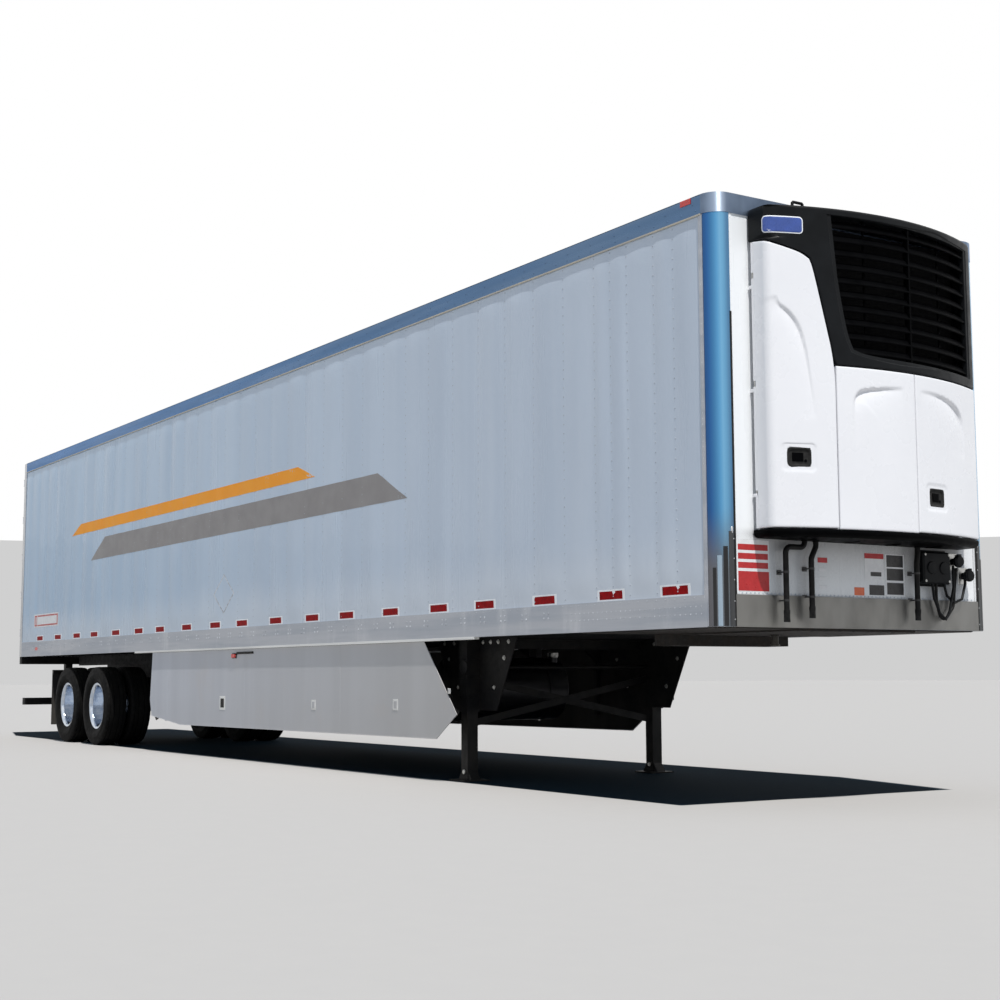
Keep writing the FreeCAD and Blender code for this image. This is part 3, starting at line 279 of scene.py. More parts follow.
# the wear strips' finishes: near-black, blue-grey and grey stainless, each a painted reflection of what the strip faces
surface("post_steel", (0.022, 0.022, 0.023), (0.012, 0.012, 0.013), 0.3, 0.3, grain=(14, (1, 1, 0.05)),
        dents=(0.0002, 60, UP))
surface("foot_steel", (0.26, 0.36, 0.45), (0.34, 0.43, 0.51), 0.3, 0.3, grain=(9, (1, 1, 0.05)))
surface("foot_grey", (0.075, 0.078, 0.08), (0.05, 0.052, 0.055), 0.3, 0.5, grain=(9, (1, 1, 0.05)))
surface("roof", (0.5, 0.51, 0.53), (0.45, 0.46, 0.49), 0.45, 0.1, grain=2, dents=(0.001, 3),
        streaks_and_reflections=(DUST, 2, (0.2, 1, 1), 0.35))
surface("stainless", (0.58, 0.59, 0.6), (0.5, 0.51, 0.53), 0.3, 0.95, grain=(12, UP), dents=(0.0002, 120, UP))
surface("frame_black", (0.007, 0.007, 0.008), (0.012, 0.0115, 0.011), 0.55, grain=7, dents=(0.0006, 45),
        dirt=(DUST, 0.4, 0.03), specular=0.15)
surface("underside", (0.016, 0.016, 0.018), (0.01, 0.01, 0.011), 0.6, grain=5, dents=(0.0005, 50), specular=0.15)
# skirt: its tail tints are painted light, bluer towards the rear
surface("skirt", (0.507, 0.497, 0.5), (0.48, 0.47, 0.472), 0.4, grain=(2.2, UP), dents=(0.0015, 2.5),
        dirt=(DUST, 0.6, 0.1), streaks_and_reflections=((0.5, 0.44, 0.4), 1.5, EVEN, 0.3),
        tail=((0.98, 1.06, 1.2), (0.94, 0.935, 0.91)))
# skirt_back: a near-black finish that is painted shade on the skirts' inner faces
surface("skirt_back", (0.014, 0.014, 0.014), (0.022, 0.021, 0.02), 0.7, grain=(2.2, UP), specular=0.2)
surface("tyre", (0.0035, 0.0036, 0.004), (0.0065, 0.0063, 0.006), 0.75, grain=9, dents=(0.0006, 220), specular=0.1)
# alloy: its dark blue vertical streaks are painted reflections in the polished wheels
surface("alloy", (0.62, 0.67, 0.74), (0.48, 0.55, 0.66), 0.13, 1, grain=14, spread=0.03, dents=(0.0002, 60),
        streaks_and_reflections=((0.09, 0.15, 0.27), 11, (1, 1, 0.12), 0.85))
surface("drum", (0.03, 0.022, 0.018), (0.018, 0.016, 0.015), 0.75, 0.3, grain=20, dents=(0.0008, 80))
surface("unit_white", (0.84, 0.84, 0.865), (0.82, 0.82, 0.845), 0.3, grain=1.2, dents=(0.0003, 260), coat=0.35)
surface("unit_black", (0.0048, 0.0056, 0.0066), (0.007, 0.008, 0.0094), 0.38, grain=5, dents=(0.0003, 420),
        specular=0.11)
surface("grille_black", (0.001, 0.0011, 0.0014), (0.0018, 0.0019, 0.0023), 0.45, grain=9, dents=(0.0002, 300),
        specular=0.02)
surface("coil", (0.003, 0.003, 0.0034), (0.0055, 0.0055, 0.006), 0.7, grain=(60, (1, 1, 0.1)), cells=(160, 0.002),
        specular=0.1)
surface("engine", (0.05, 0.05, 0.05), (0.09, 0.08, 0.07), 0.6, 0.4, grain=18, dents=(0.002, 40))
surface("copper", (0.55, 0.26, 0.13), (0.38, 0.19, 0.11), 0.4, 0.9, grain=40)
surface("hose", (0.005, 0.005, 0.0055), (0.009, 0.009, 0.009), 0.5, grain=30, dents=(0.0004, 300), specular=0.14)
surface("flap", (0.016, 0.016, 0.017), (0.028, 0.026, 0.025), 0.8, grain=(6, (1, 1, 0.3)), dents=(0.0008, 120),
        dirt=(DUST, 0.7, 0.12), specular=0.2)
surface("red_lens", (0.72, 0.02, 0.012), (0.58, 0.01, 0.008), 0.2, grain=60, spread=0.05, coat=0.25,
        cells=(220, 0.001))
surface("red_tape", (0.33, 0.004, 0.006), (0.24, 0.003, 0.005), 0.5, grain=25, cells=(260, 0.0003), specular=0.06)
surface("white_tape", (0.95, 0.96, 0.97), (0.9, 0.92, 0.94), 0.4, grain=25, cells=(260, 0.0003))
surface("stripe_orange", (1, 0.41, 0.055), (1, 0.39, 0.05), 0.5, grain=3, specular=0.05)
surface("stripe_grey", (0.31, 0.292, 0.285), (0.29, 0.272, 0.266), 0.5, grain=3, specular=0.15)
surface("plate_white", (0.78, 0.78, 0.79), (0.72, 0.72, 0.73), 0.35, grain=20)
surface("plate_red", (0.46, 0.018, 0.02), (0.4, 0.013, 0.015), 0.35, grain=20)
surface("plate_black", (0.012, 0.012, 0.013), (0.022, 0.022, 0.024), 0.35, grain=20)
surface("plate_orange", (0.75, 0.16, 0.06), (0.66, 0.13, 0.05), 0.35, grain=20)
surface("tank", (0.05, 0.05, 0.053), (0.03, 0.03, 0.033), 0.38, 0.9, grain=(8, (1, 0.1, 1)))
surface("floor_metal", (0.55, 0.56, 0.57), (0.44, 0.45, 0.46), 0.4, 0.85, grain=(10, ALONG),
        dents=(0.0004, 60, ALONG))
surface("zinc", (0.62, 0.62, 0.6), (0.5, 0.5, 0.48), 0.36, 0.9, grain=40)
surface("hub_steel", (0.42, 0.42, 0.43), (0.3, 0.3, 0.31), 0.4, 0.9, grain=22)
surface("stripe_blue", (0.03, 0.075, 0.32), (0.026, 0.066, 0.28), 0.3, grain=12, coat=0.3)
surface("hole_black", (0.003, 0.003, 0.003), (0.005, 0.005, 0.005), 0.9, grain=12)
surface("rust", (0.016, 0.011, 0.008), (0.009, 0.008, 0.007), 0.8, grain=14, dents=(0.0006, 70))
surface("grease", (0.055, 0.05, 0.042), (0.025, 0.023, 0.021), 0.35, 0.5, grain=12)


WHEEL_SETS = [(f"{place_name}_{name}", side) for place_name in ("front", "rear") for name, side in SIDES]
for finish, node_names in {
    # finish: the CAD nodes that wear it
    "floor_metal": "floor",
    "underside": "cross_members slide_rails skirt_struts",
    "nose_white": "front_wall",
    "roof": "roof",
    "rail": "bottom_rails",
    "top_rail": "top_rails",
    "nose_rail": "nose_rails",
    "post": "corner_posts",
    "stainless": "rear_frame",
    "rust": "upper_coupler",
    "grease": "kingpin",
    "frame_black": "landing_legs landing_braces landing_crank bogie_frame trailing_arms axles underride_guard",
    "hose": "air_springs drain_hoses service_cable",
    "flap": "mud_flaps",
    "skirt": "side_skirts",
    "tank": "fuel_tank",
    "red_lens": "marker_lamps tail_lamps",
    "unit_black": "unit_base unit_shroud air_couplings",
    "unit_white": "unit_housing unit_door_kerb unit_door_road",
    "engine": "unit_engine",
    "grille_black": "unit_grille",
    "coil": "unit_condenser",
    "door_white": "rear_door_left rear_door_right",
    "zinc": "door_locks_left door_locks_right",
    "liner_white": "side_wall_left side_wall_right",
    "alloy": " ".join("wheels_" + name for name, _ in WHEEL_SETS),
    "tyre": " ".join("tyres_" + name for name, _ in WHEEL_SETS),
}.items():
    for node_name in node_names.split():
        for material_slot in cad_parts[node_name].material_slots:
            material_slot.material = FINISHES[finish]


# ---------------------------------------------------------------- building pieces

BOTH, MIDDLE = (1, -1), (1,)                # on both sides, or once and as given
X, Y, Z = Vector((1, 0, 0)), Vector((0, 1, 0)), Vector((0, 0, 1))
SHARP_ANGLE = math.radians(38)              # edges that turn more than this stay sharp


def across(normal):
    """Two directions square to a direction, and to each other."""
    ahead = Vector(normal).normalized()
    first = (Z if abs(ahead.z) < 0.9 else X).cross(ahead).normalized()
    return ahead, first, ahead.cross(first)


def spots(point):
    """Every point whose coordinates come from these, any of which may be a list."""
    return [(x, y, z) for x, y, z in itertools.product(*(c if isinstance(c, (list, tuple)) else [c] for c in point))]


def round_loop(sides, start=0.0):
    return [(math.cos(start + math.tau * k / sides), math.sin(start + math.tau * k / sides)) for k in range(sides)]


def linked(name, data):
    """A new object in the scene."""
    made = bpy.data.objects.new(name, data)
    bpy.context.collection.objects.link(made)
    return made


class Shape:
    """Gathers closed meshes for one piece; each face has a finish number, its mark.

    What is added comes once for each of its sides, with Y times 1 or -1.
    """

    def __init__(self, sides=MIDDLE):
        self.points, self.faces, self.marks, self.sides = [], [], [], sides

    def add(self, points, faces, mark=0):
        for side in self.sides:
            base = len(self.points)
            self.points.extend((x, y * side, z) for x, y, z in points)
            self.faces.extend([base + index for index in face] for face in faces)
            self.marks.extend([mark] * len(faces))

    def rings(self, rows, mark=0, caps=True, loop=False):
        """Joins rows of points with quads; each row is a loop, and with loop so are the rows."""
        count = len(rows[0])
        faces = []
        for row in range(len(rows) if loop else len(rows) - 1):
            here, after = row * count, (row + 1) % len(rows) * count
            for near in range(count):
                far = (near + 1) % count
                faces.append((here + near, here + far, after + far, after + near))
        if caps:
            faces.append(tuple(range(count)))
            faces.append(tuple(range((len(rows) - 1) * count, len(rows) * count)))
        self.add([point for row in rows for point in row], faces, mark)

    def block(self, low, high, edge=0.002, mark=0, at=(0, 0, 0)):
        """A block with chamfered edges; its copies are moved by the spots of at."""
        (mx, my, _), (sx, sy, sz) = [[(b + way * a) / 2 for a, b in zip(low, high)] for way in (1, -1)]
        sx, sy, sz = abs(sx), abs(sy), abs(sz)
        z0, z1 = sorted((low[2], high[2]))
        edge = min(edge, sx * 0.6, sy * 0.6, sz * 0.6)
        ix, iy = 1 - edge / sx, 1 - edge / sy
        outline = [(-1, -iy), (-ix, -1), (ix, -1), (1, -iy), (1, iy), (ix, 1), (-ix, 1), (-1, iy)]
        for x, y, z in spots(at):
            self.rings([[(mx + x + a * (sx - inset), my + y + b * (sy - inset), z + level) for a, b in outline]
                        for level, inset in ((z0, edge), (z0 + edge, 0), (z1 - edge, 0), (z1, edge))], mark)

    def lathe(self, profile, origin, axis, sides=24, mark=0):
        """Turns (distance along the axis, radius) points round an axis, at each spot of origin."""
        ahead, first, second = across(axis)
        rows = [[ahead * along + (first * a + second * b) * max(radius, 1e-5) for a, b in round_loop(sides)]
                for along, radius in profile]
        for spot in spots(origin):
            self.rings([[point + Vector(spot) for point in row] for row in rows], mark)

    def ring(self, profile, origin, axis, sides=48, mark=0, wave=None):
        """As lathe, but the profile is a closed loop, as in a tyre; wave takes off a little, step by step."""
        ahead, first, second = across(axis)
        self.rings([[Vector(origin) + ahead * along
                     + (first * a + second * b) * (radius - (wave(along, radius, index) if wave else 0.0))
                     for along, radius in profile] for index, (a, b) in enumerate(round_loop(sides))],
                   mark, False, True)

    def rod(self, start, end, radius, sides=16, edge=0.0015, mark=0):
        """A round bar between two points, its ends bevelled."""
        ahead = Vector(end) - Vector(start)
        length = ahead.length
        edge = min(edge, radius * 0.4, length * 0.3)
        self.lathe([(0, radius - edge), (edge, radius), (length - edge, radius), (length, radius - edge)], start, ahead,
                   sides, mark)

    def rivet(self, centre, normal, radius=0.0055, height=0.0022, sides=6, mark=0):
        self.lathe([(-0.0006, radius), (height * 0.6, radius * 0.75), (height, radius * 0.25)], centre, normal, sides,
                   mark)

    def bolt(self, centre, normal, radius=0.011, height=0.010, mark=0):
        """A washer and a hexagon head."""
        self.lathe([(-0.0005, radius * 1.5), (0.002, radius * 1.5), (0.0022, radius * 1.3)], centre, normal, 12, mark)
        self.lathe([(0.001, radius), (height * 0.8, radius), (height, radius * 0.8)], centre, normal, 6, mark)

    def tube(self, path, radius, sides=12, mark=0):
        """A round bar along a polyline, with mitred bends."""
        path = [Vector(point) for point in path]
        runs = [(b - a).normalized() for a, b in zip(path, path[1:])]
        _, first, _ = across(runs[0])
        rows = []
        for point, before, after in zip(path, runs[:1] + runs, runs + runs[-1:]):
            ahead = (before + after).normalized()
            first = (first - ahead * first.dot(ahead)).normalized()
            second = ahead.cross(first)
            rows.append([point + (first * a + second * b) * radius for a, b in round_loop(sides)])
        self.rings(rows, mark)

    def plate(self, outline, start, end, edge=0.0015, mark=0):
        """A convex outline in (x, z) drawn out along Y, its edges chamfered."""
        mx, mz = [sum(values) / len(outline) for values in zip(*outline)]
        reach = max(math.hypot(x - mx, z - mz) for x, z in outline)
        edge = min(edge, (end - start) * 0.3)
        self.rings([[(mx + (x - mx) * (1 - shrink / reach), y, mz + (z - mz) * (1 - shrink / reach))
                     for x, z in outline]
                    for y, shrink in ((start, edge), (start + edge, 0), (end - edge, 0), (end, edge))], mark)

    def shell(self, front, back, mark=0):
        """A closed panel between a front grid of points and a back grid of the same size."""
        rows, columns = len(front), len(front[0])
        total = rows * columns
        faces = [(c, c + 1, c + 1 + columns, c + columns)
                 for r in range(rows - 1) for c in range(r * columns, (r + 1) * columns - 1)]
        faces += [tuple(index + total for index in reversed(face)) for face in faces]
        rim = list(range(columns)) + [r * columns + columns - 1 for r in range(1, rows)]
        rim += list(range(total - 2, total - columns - 1, -1)) + [r * columns for r in range(rows - 2, 0, -1)]
        faces += [(a, a + total, b + total, b) for a, b in zip(rim, rim[1:] + rim[:1])]
        self.add([point for row in front + back for point in row], faces, mark)

    def done(self, name, finishes, replaces=None, body="trailer"):
        """Makes the piece, which rides on a body and may stand in for a CAD node."""
        mesh = bpy.data.meshes.new(name)
        mesh.from_pydata(self.points, [], self.faces)
        mesh.polygons.foreach_set("material_index", self.marks)
        mesh.polygons.foreach_set("use_smooth", [True] * len(self.faces))
        for finish in finishes.split():
            mesh.materials.append(FINISHES[finish])
        work = bmesh.new()
        work.from_mesh(mesh)
        bmesh.ops.recalc_face_normals(work, faces=work.faces)
        work.to_mesh(mesh)
        work.free()
        mesh.set_sharp_from_angle(angle=SHARP_ANGLE)
        piece = linked(name, mesh)
        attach(piece, body)
        if replaces:
            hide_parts(replaces)


# ---------------------------------------------------------------- side skins

SEAMS = [0.15, 0.45, 0.67, 0.98, 1.18, 1.38, 1.78]      # rivet rows, behind the nose
while SEAMS[-1] + 0.41 < nose - body_rear - 0.2:
    SEAMS.append(SEAMS[-1] + 0.41)
SEAMS.append(nose - body_rear)
# swell, wavelength, phase and lean of each bay of the skin, the left side's and then the right side's
BAYS = [(rng.uniform(0.0042, 0.0072), rng.uniform(1.1, 2.4), rng.uniform(0, math.tau), rng.uniform(-0.3, 0.3))
        for _ in range(2 * len(SEAMS))]
SKIN_LIFT, FILM = 0.0005, 0.0008        # the skin's and a film's distance from what is below
FILM_STEP = 0.0006                      # from one film to the next on top of it


def skin_point(x, z, side, lift=0.0):
    """A point on a side skin, as for the left: it bulges between the rivet rows and is held at the rails."""
    back = nose - x
    index = 0
    while index < len(SEAMS) - 2 and back > SEAMS[index + 1]:
        index += 1
    share = min(max((back - SEAMS[index]) / (SEAMS[index + 1] - SEAMS[index]), 0.0), 1.0)
    swell, wavelength, phase, lean = BAYS[index + (len(SEAMS) if side < 0 else 0)]
    held = smooth(0.0, 0.16, z - rail_top) * smooth(0.0, 0.17, rail_base - z)
    wave = math.sin(math.pi * share) ** 0.8 * (1 + lean * math.cos(math.pi * share))
    along_bay = 1 + 0.35 * math.sin(math.tau * z / wavelength + phase)
    wide = 0.0008 * math.sin(back * 1.9 + z * 1.3 + phase * 0.2)
    return x, wall_out + SKIN_LIFT + held * (swell * wave * along_bay + 0.0008 + wide) + lift, z


def film(shape, foot, head, lift, mark=0, step=0.055):
    """A thin film on the skin; foot and head are (height, start, end), measured behind the nose."""
    side = shape.sides[0]
    columns = max(2, round(max(foot[2] - foot[1], head[2] - head[1]) / step))
    rows = max(2, round((head[0] - foot[0]) / step))
    grids = ([], [])
    for row in range(rows + 1):
        z, start, end = (a + (b - a) * row / rows for a, b in zip(foot, head))
        for grid, away in zip(grids, (lift, lift - 0.0005)):
            grid.append([skin_point(nose - (start + (end - start) * column / columns), z, side, away)
                         for column in range(columns + 1)])
    shape.shell(*grids, mark)


TAPE_GROUP, TAPE_LENGTH = 2.447, 0.275      # three pieces to a group; the length of a red piece
TAPE_STARTS = [0.34] + [start + TAPE_GROUP * group for group in range(7) for start in (1.07, 1.92, 2.78)]
PLACARD, WAIST = 8.31, 1.7825           # the middle of the diamond placard holder


def make_skin(name, side):
    """A side skin and its rivets."""
    skin = Shape((side,))
    places = [corner_x, body_rear]
    for first, last in zip(SEAMS, SEAMS[1:]):
        places += [nose - (first + (last - first) * k / 7) for k in range(0 if first > 0.2 else 1, 7)]
    places = sorted(set(places), reverse=True)
    levels = edged(rail_top + 0.0005, rail_base - 0.0005, 0.066, (0.0, 0.008, 0.02, 0.04))
    skin.shell([[skin_point(x, z, side) for x in places] for z in levels],
               [[(x, wall_out - 0.003, z) for x in places] for z in levels])
    skin.done(f"side_skin_{name}", "side_white")

    rivets = Shape((side,))
    for seam in SEAMS[1:-1]:
        for z in spaced(rail_top + 0.035, rail_base - 0.03, 0.070):
            rivets.rivet(skin_point(nose - seam, z, side), Y, 0.0075, 0.0028)
    for x in (corner_x - 0.018, body_rear + 0.02):
        for z in spaced(rail_top + 0.03, rail_base - 0.03, 0.05):
            rivets.rivet(skin_point(x, z, side), Y, 0.0065, 0.0026)
    rivets.done(f"side_rivets_{name}", "side_rivet")


def make_tape(name, side):
    """Reflective tape above the bottom rail: red pieces in white ones."""
    tape = Shape((side,))
    for start in TAPE_STARTS:
        end = start + TAPE_LENGTH
        if end + 0.03 <= nose - body_rear:
            film(tape, (rail_top + 0.003, start - 0.028, end + 0.028),
                 (rail_top + 0.085, start - 0.028, end + 0.028), FILM)
            film(tape, (rail_top + 0.014, start, end), (rail_top + 0.073, start, end), FILM + FILM_STEP, 1)
    tape.done(f"side_tape_{name}", "white_tape red_tape")


def make_stripes(name, side):
    """Two plain slanting stripes, without lettering."""
    stripes = Shape((side,))
    film(stripes, (2.83, 6.05, 13.75), (2.97, 6.45, 13.35), FILM, 0)
    film(stripes, (2.44, 4.20, 12.90), (2.72, 4.75, 12.35), FILM, 1)
    stripes.done(f"side_stripes_{name}", "stripe_orange stripe_grey")


def make_signs(name, side):
    """A blank framed plate near the tail and a blank diamond placard holder."""
    signs = Shape((side,))
    for layer, (aside, up, mark) in enumerate(((0, 0, 0), (0.03, 0.018, 1), (0.07, 0.038, 0))):
        film(signs, (1.610 + up, 14.28 + aside, 15.44 - aside), (1.800 - up, 14.28 + aside, 15.44 - aside),
             FILM + FILM_STEP * layer, mark)
    for wide, tall, lift, mark in ((0.290, 0.215, FILM, 2), (0.262, 0.195, FILM + FILM_STEP, 3)):
        for way in (-1, 1):
            film(signs, (WAIST, PLACARD - wide, PLACARD + wide),
                 (WAIST + way * tall, PLACARD - 0.002, PLACARD + 0.002), lift, mark, 0.03)
    signs.done(f"side_signs_{name}", "plate_white plate_red rail_bolt side_white")


# ---------------------------------------------------------------- rails, posts and nose wall

BEAM_PITCH = 0.305


def make_rail_trim():
    """Rivets, bolts, drip lips and the strip under the rails."""
    trim = Shape(BOTH)
    start = body_rear + 0.01
    trim.block((start, half + 0.0034, rail_base - 0.008), (corner_x, half - 0.007, rail_base + 0.004), 0.001, 1)
    trim.block((start, half, top - 0.006), (corner_x, half - 0.006, top - 0.0005), 0.001, 2)
    for margin, pitch, z, radius, height, sides, mark in (
            (0.05, 0.152, rail_base + 0.032, 0.007, 0.0030, 6, 2),
            (0.08, 0.30, top - 0.055, 0.010, 0.0030, 8, 2),
            (0.03, 0.102, rail_top - 0.018, 0.006, 0.0028, 6, 0)):
        trim.rivet((spaced(body_rear + margin, corner_x - margin, pitch), half, z), Y, radius, height, sides, mark)
    beams = itertools.takewhile(lambda x: x < nose - 1.9, itertools.count(body_rear + BEAM_PITCH, BEAM_PITCH))
    trim.rivet(([x + shift for x in beams for shift in (-0.030, 0.030)], half, (rail_top - 0.060, rail_top - 0.098)),
               Y, 0.0115, 0.0036, 8, 3)
    trim.rivet((spaced(nose - 1.75, corner_x - 0.06, 0.055), half, (rail_top - 0.075, rail_top - 0.125)), Y, 0.006,
               0.0028, 6, 3)
    trim.block((nose - 11.1, half + 0.0005, deck - 0.018), (nose - 3.07, half - 0.05, deck + 0.004), 0.001, 4)
    trim.block((corner_x - 0.004, half - 0.0005, deck + 0.001), (corner_x - 0.036, half - 0.012, rail_top + 0.002),
               0.001, 0)
    trim.done("rail_trim", "rail lip top_rail rail_bolt lip_white")


def post_point(degrees, sunk, z=0.0):
    """A point of a nose corner; 0 degrees faces forward, 90 faces out to the side."""
    turn = math.radians(degrees)
    radius = corner_radius - sunk
    return corner_x + radius * math.cos(turn), corner_y + radius * math.sin(turn), z


def make_post_trim():
    """Edge strips with rivets, and the stainless wear strips at the foot of the nose corners; the strips' dark, grey
    and pale blue finishes are painted reflections.
    """
    trim = Shape(BOTH)
    foot = deck + 0.004
    # the first four rows are the wear strips, in finishes that are painted reflections
    for start, end, step, sunk, thickness, head, mark in (
            (5, 20, 5, 0.0008, 0.006, 1.82, 6), (24, 37, 4, 0.0012, 0.005, 1.72, 3),
            (41, 54, 4, 0.0012, 0.005, 1.66, 4), (58, 68, 4, 0.0012, 0.005, 1.58, 3),
            (-3, 3, 2, 0.0006, 0.006, 3.30, 5), (85, 93, 4, 0.0008, 0.005, rail_base - 0.002, 2)):
        front, back = [[[post_point(turn, depth, z) for turn in spaced(start, end, step)]
                        for z in (foot, foot + 0.002, head - 0.002, head)] for depth in (sunk, sunk + thickness)]
        trim.shell(front, back, mark)
    trim.block((corner_x + 0.002, half - 0.0012, rail_top), (corner_x - 0.03, half - 0.009, rail_base - 0.002),
               0.001, 2)
    trim.rivet((corner_x - 0.014, half - 0.0016, spaced(rail_top + 0.03, rail_base - 0.03, 0.038)), Y, 0.0045, 0.0015,
               6, 2)
    for turn, sunk, levels, lean, height, mark in (
            (5, 0.002, (1.24, 1.36, 1.50, 1.64, 1.77), 0.1, 0.0018, 0),
            (6, 0.0022, (rail_base + 0.02, top - 0.018), math.radians(6), 0.002, 1),
            (84, 0.0022, (rail_base + 0.02, top - 0.018), math.radians(84), 0.002, 1)):
        x, y, _ = post_point(turn, sunk)
        trim.rivet((x, y, levels), (math.cos(lean), math.sin(lean), 0), 0.006, height, 8, mark)
    trim.lathe([(0, 0.010), (0.01, 0.012), (0.045, 0.012), (0.055, 0.006)], post_point(9, 0.012, 1.80), Z, 12, 0)
    trim.done("post_trim", "stainless nose_rail rail post_steel foot_steel hole_black foot_grey")


def make_nose_trim():
    """Rivet rows, cover strips, and blank plates on the nose wall."""
    trim = Shape()
    face, rail_face = front_out, nose - 0.0022
    edges = (-corner_y + 0.012, corner_y - 0.012)
    trim.block((face - 0.002, -0.014, rail_top), (face + 0.003, 0.014, rail_base), 0.001, 0, (0, edges, 0))
    fine, coarse = (spaced(-corner_y + margin, corner_y - margin, margin * share)
                    for margin, share in ((0.06, 0.6), (0.08, 1.5)))
    for x, ys, zs, radius, height, sides, mark in (
            (face + 0.003, edges, spaced(rail_top + 0.03, rail_base - 0.03, 0.05), 0.0045, 0.0018, 6, 0),
            (face, fine, rail_top + 0.012, 0.0065, 0.003, 6, 3),
            (rail_face, fine, rail_top - 0.02, 0.0045, 0.0020, 6, 1),
            (face, fine, rail_base - 0.024, 0.0045, 0.002, 6, 0),
            (rail_face, coarse, (deck + 0.05, deck + 0.115), 0.0065, 0.0020, 8, 1),
            (rail_face, coarse, top - 0.05, 0.006, 0.0020, 6, 1)):
        trim.rivet((x, ys, zs), X, radius, height, sides, mark)
    trim.block((nose - 0.004, -0.05, deck + 0.145), (nose - 0.0008, 0.05, deck + 0.168), 0.001, 1,
               (0, (-1.0, -0.62, -0.2, 0.34, 1.02), 0))
    trim.block((nose - 0.006, -corner_y, rail_base + 0.002), (nose - 0.0006, corner_y, rail_base + 0.012), 0.001, 2)
    trim.done("nose_trim", "nose_white rail nose_rail side_rivet")

    plates = Shape()
    for y0, y1, z0, z1, mark, stands, lifts in (
            # white, red, black and orange plates; lifts: where the copies go
            (-1.146, -0.860, 1.425, 1.770, 0, 0.0012, 0), (-1.142, -0.864, 1.430, 1.560, 1, 0.0018, 0),
            (-1.135, -0.871, 1.580, 1.620, 1, 0.0018, (0, 0.06, 0.12)), (0.025, 0.210, 1.535, 1.725, 0, 0.0012, 0),
            (0.025, 0.210, 1.685, 1.722, 1, 0.0018, 0), (0.080, 0.185, 1.562, 1.592, 2, 0.0018, 0),
            (0.225, 0.415, 1.425, 1.722, 0, 0.0012, 0), (0.238, 0.402, 1.437, 1.521, 2, 0.0018, (0, 0.1, 0.195)),
            (0.065, 0.210, 1.43, 1.50, 2, 0.0012, 0), (-0.080, 0.015, 1.425, 1.480, 3, 0.0012, 0),
            (-0.42, -0.33, 1.64, 1.675, 1, 0.0012, 0), (-0.41, -0.34, 1.46, 1.482, 0, 0.0012, (0, 0.06, 0.12))):
        plates.block((face - 0.0004, y0, z0), (face + stands, y1, z1), 0.0004, mark, (0, 0, lifts))
    plates.done("nose_plates", "plate_white plate_red plate_black plate_orange")


def make_nose_fittings():
    """Plug box with its sockets, the two air couplings, and what holds the hoses."""
    fittings = Shape()
    x = front_out
    fittings.block((x, 0.54, 1.52), (x + 0.070, 0.82, 1.75), 0.012, 0)
    fittings.block((x, 0.525, 1.505), (x + 0.004, 0.835, 1.765), 0.002, 0)
    fittings.lathe([(0.066, 0.046), (0.072, 0.046), (0.078, 0.0414), (0.0795, 0.0138)], (x, (0.62, 0.745), 1.635), X)
    for y in (0.62, 0.745):
        fittings.rod((x + 0.060, y - 0.03, 1.681), (x + 0.060, y + 0.03, 1.681), 0.006, 8, 0.001, 1)
    fittings.bolt((x + 0.0695, (0.56, 0.80), (1.54, 1.73)), X, 0.006, 0.005, 1)
    for y, z in ((0.905, 1.690), (1.010, 1.590)):
        fittings.block((x, y - 0.045, z - 0.06), (x + 0.006, y + 0.045, z + 0.06), 0.002, 1)
        fittings.lathe([(0.002, 0.024), (0.02, 0.026), (0.03, 0.020), (0.046, 0.020), (0.048, 0.040), (0.062, 0.044),
                        (0.074, 0.044), (0.080, 0.038), (0.083, 0.020), (0.0835, 0.004)], (x, y, z), X)
        fittings.lathe([(0.0815, 0.036), (0.0855, 0.036), (0.0865, 0.022), (0.0865, 0.0)], (x, y, z), X)
        fittings.plate([(x + 0.048, z + 0.02), (x + 0.080, z + 0.02), (x + 0.080, z + 0.052), (x + 0.048, z + 0.046)],
                       y - 0.02, y + 0.02, 0.003)
        fittings.bolt((x + 0.005, (y - 0.034, y + 0.034), z + 0.048), X, 0.005, 0.004, 1)
    for path in (((0.05, 0.64, 1.53), (0.055, 0.65, 1.42), (0.06, 0.70, 1.31), (0.06, 0.76, 1.27), (0.06, 0.80, 1.33),
                  (0.05, 0.86, 1.50), (0.03, 0.885, 1.66)),
                 ((0.03, 0.78, 1.53), (0.04, 0.80, 1.44), (0.045, 0.87, 1.39), (0.045, 0.95, 1.42),
                  (0.035, 1.00, 1.53), (0.03, 1.005, 1.575))):
        fittings.tube([(x + out, y, z) for out, y, z in path], 0.010, 10)
    fittings.done("nose_fittings", "unit_black zinc", "air_couplings")


DRAIN_HOSES = ((-0.775, 1.26), (-0.545, 1.29), (0.466, 1.29))      # each hose's Y and the height of its foot
HOSE_OFF = 0.060


def make_hose_fittings():
    """Clamps on the drain hoses and the flat valves at their lower ends."""
    clamps = Shape()
    x = nose + HOSE_OFF
    for y, foot in DRAIN_HOSES:
        levels = (foot + 0.30, foot + 0.11)
        clamps.lathe([(-0.007, 0.0205), (-0.006, 0.0215), (0.006, 0.0215), (0.007, 0.0205)], (x, y, levels), Z, 20)
        clamps.block((front_out, y - 0.012, -0.004), (x - 0.018, y + 0.012, 0.004), 0.001, 0, (0, 0, levels))
        clamps.block((front_out, y - 0.022, -0.016), (front_out + 0.003, y + 0.022, 0.016), 0.001, 0, (0, 0, levels))
        clamps.rings([[(x + deep * a, y + wide * b, foot + level) for a, b in round_loop(20)]
                      for level, wide, deep in ((0.046, 0.0215, 0.0215), (0.034, 0.0225, 0.0225), (0.016, 0.022, 0.020),
                                                (-0.006, 0.027, 0.010), (-0.028, 0.030, 0.004),
                                                (-0.034, 0.029, 0.003))], 1)
    clamps.done("hose_fittings", "plate_black hose")


# ---------------------------------------------------------------- refrigeration unit

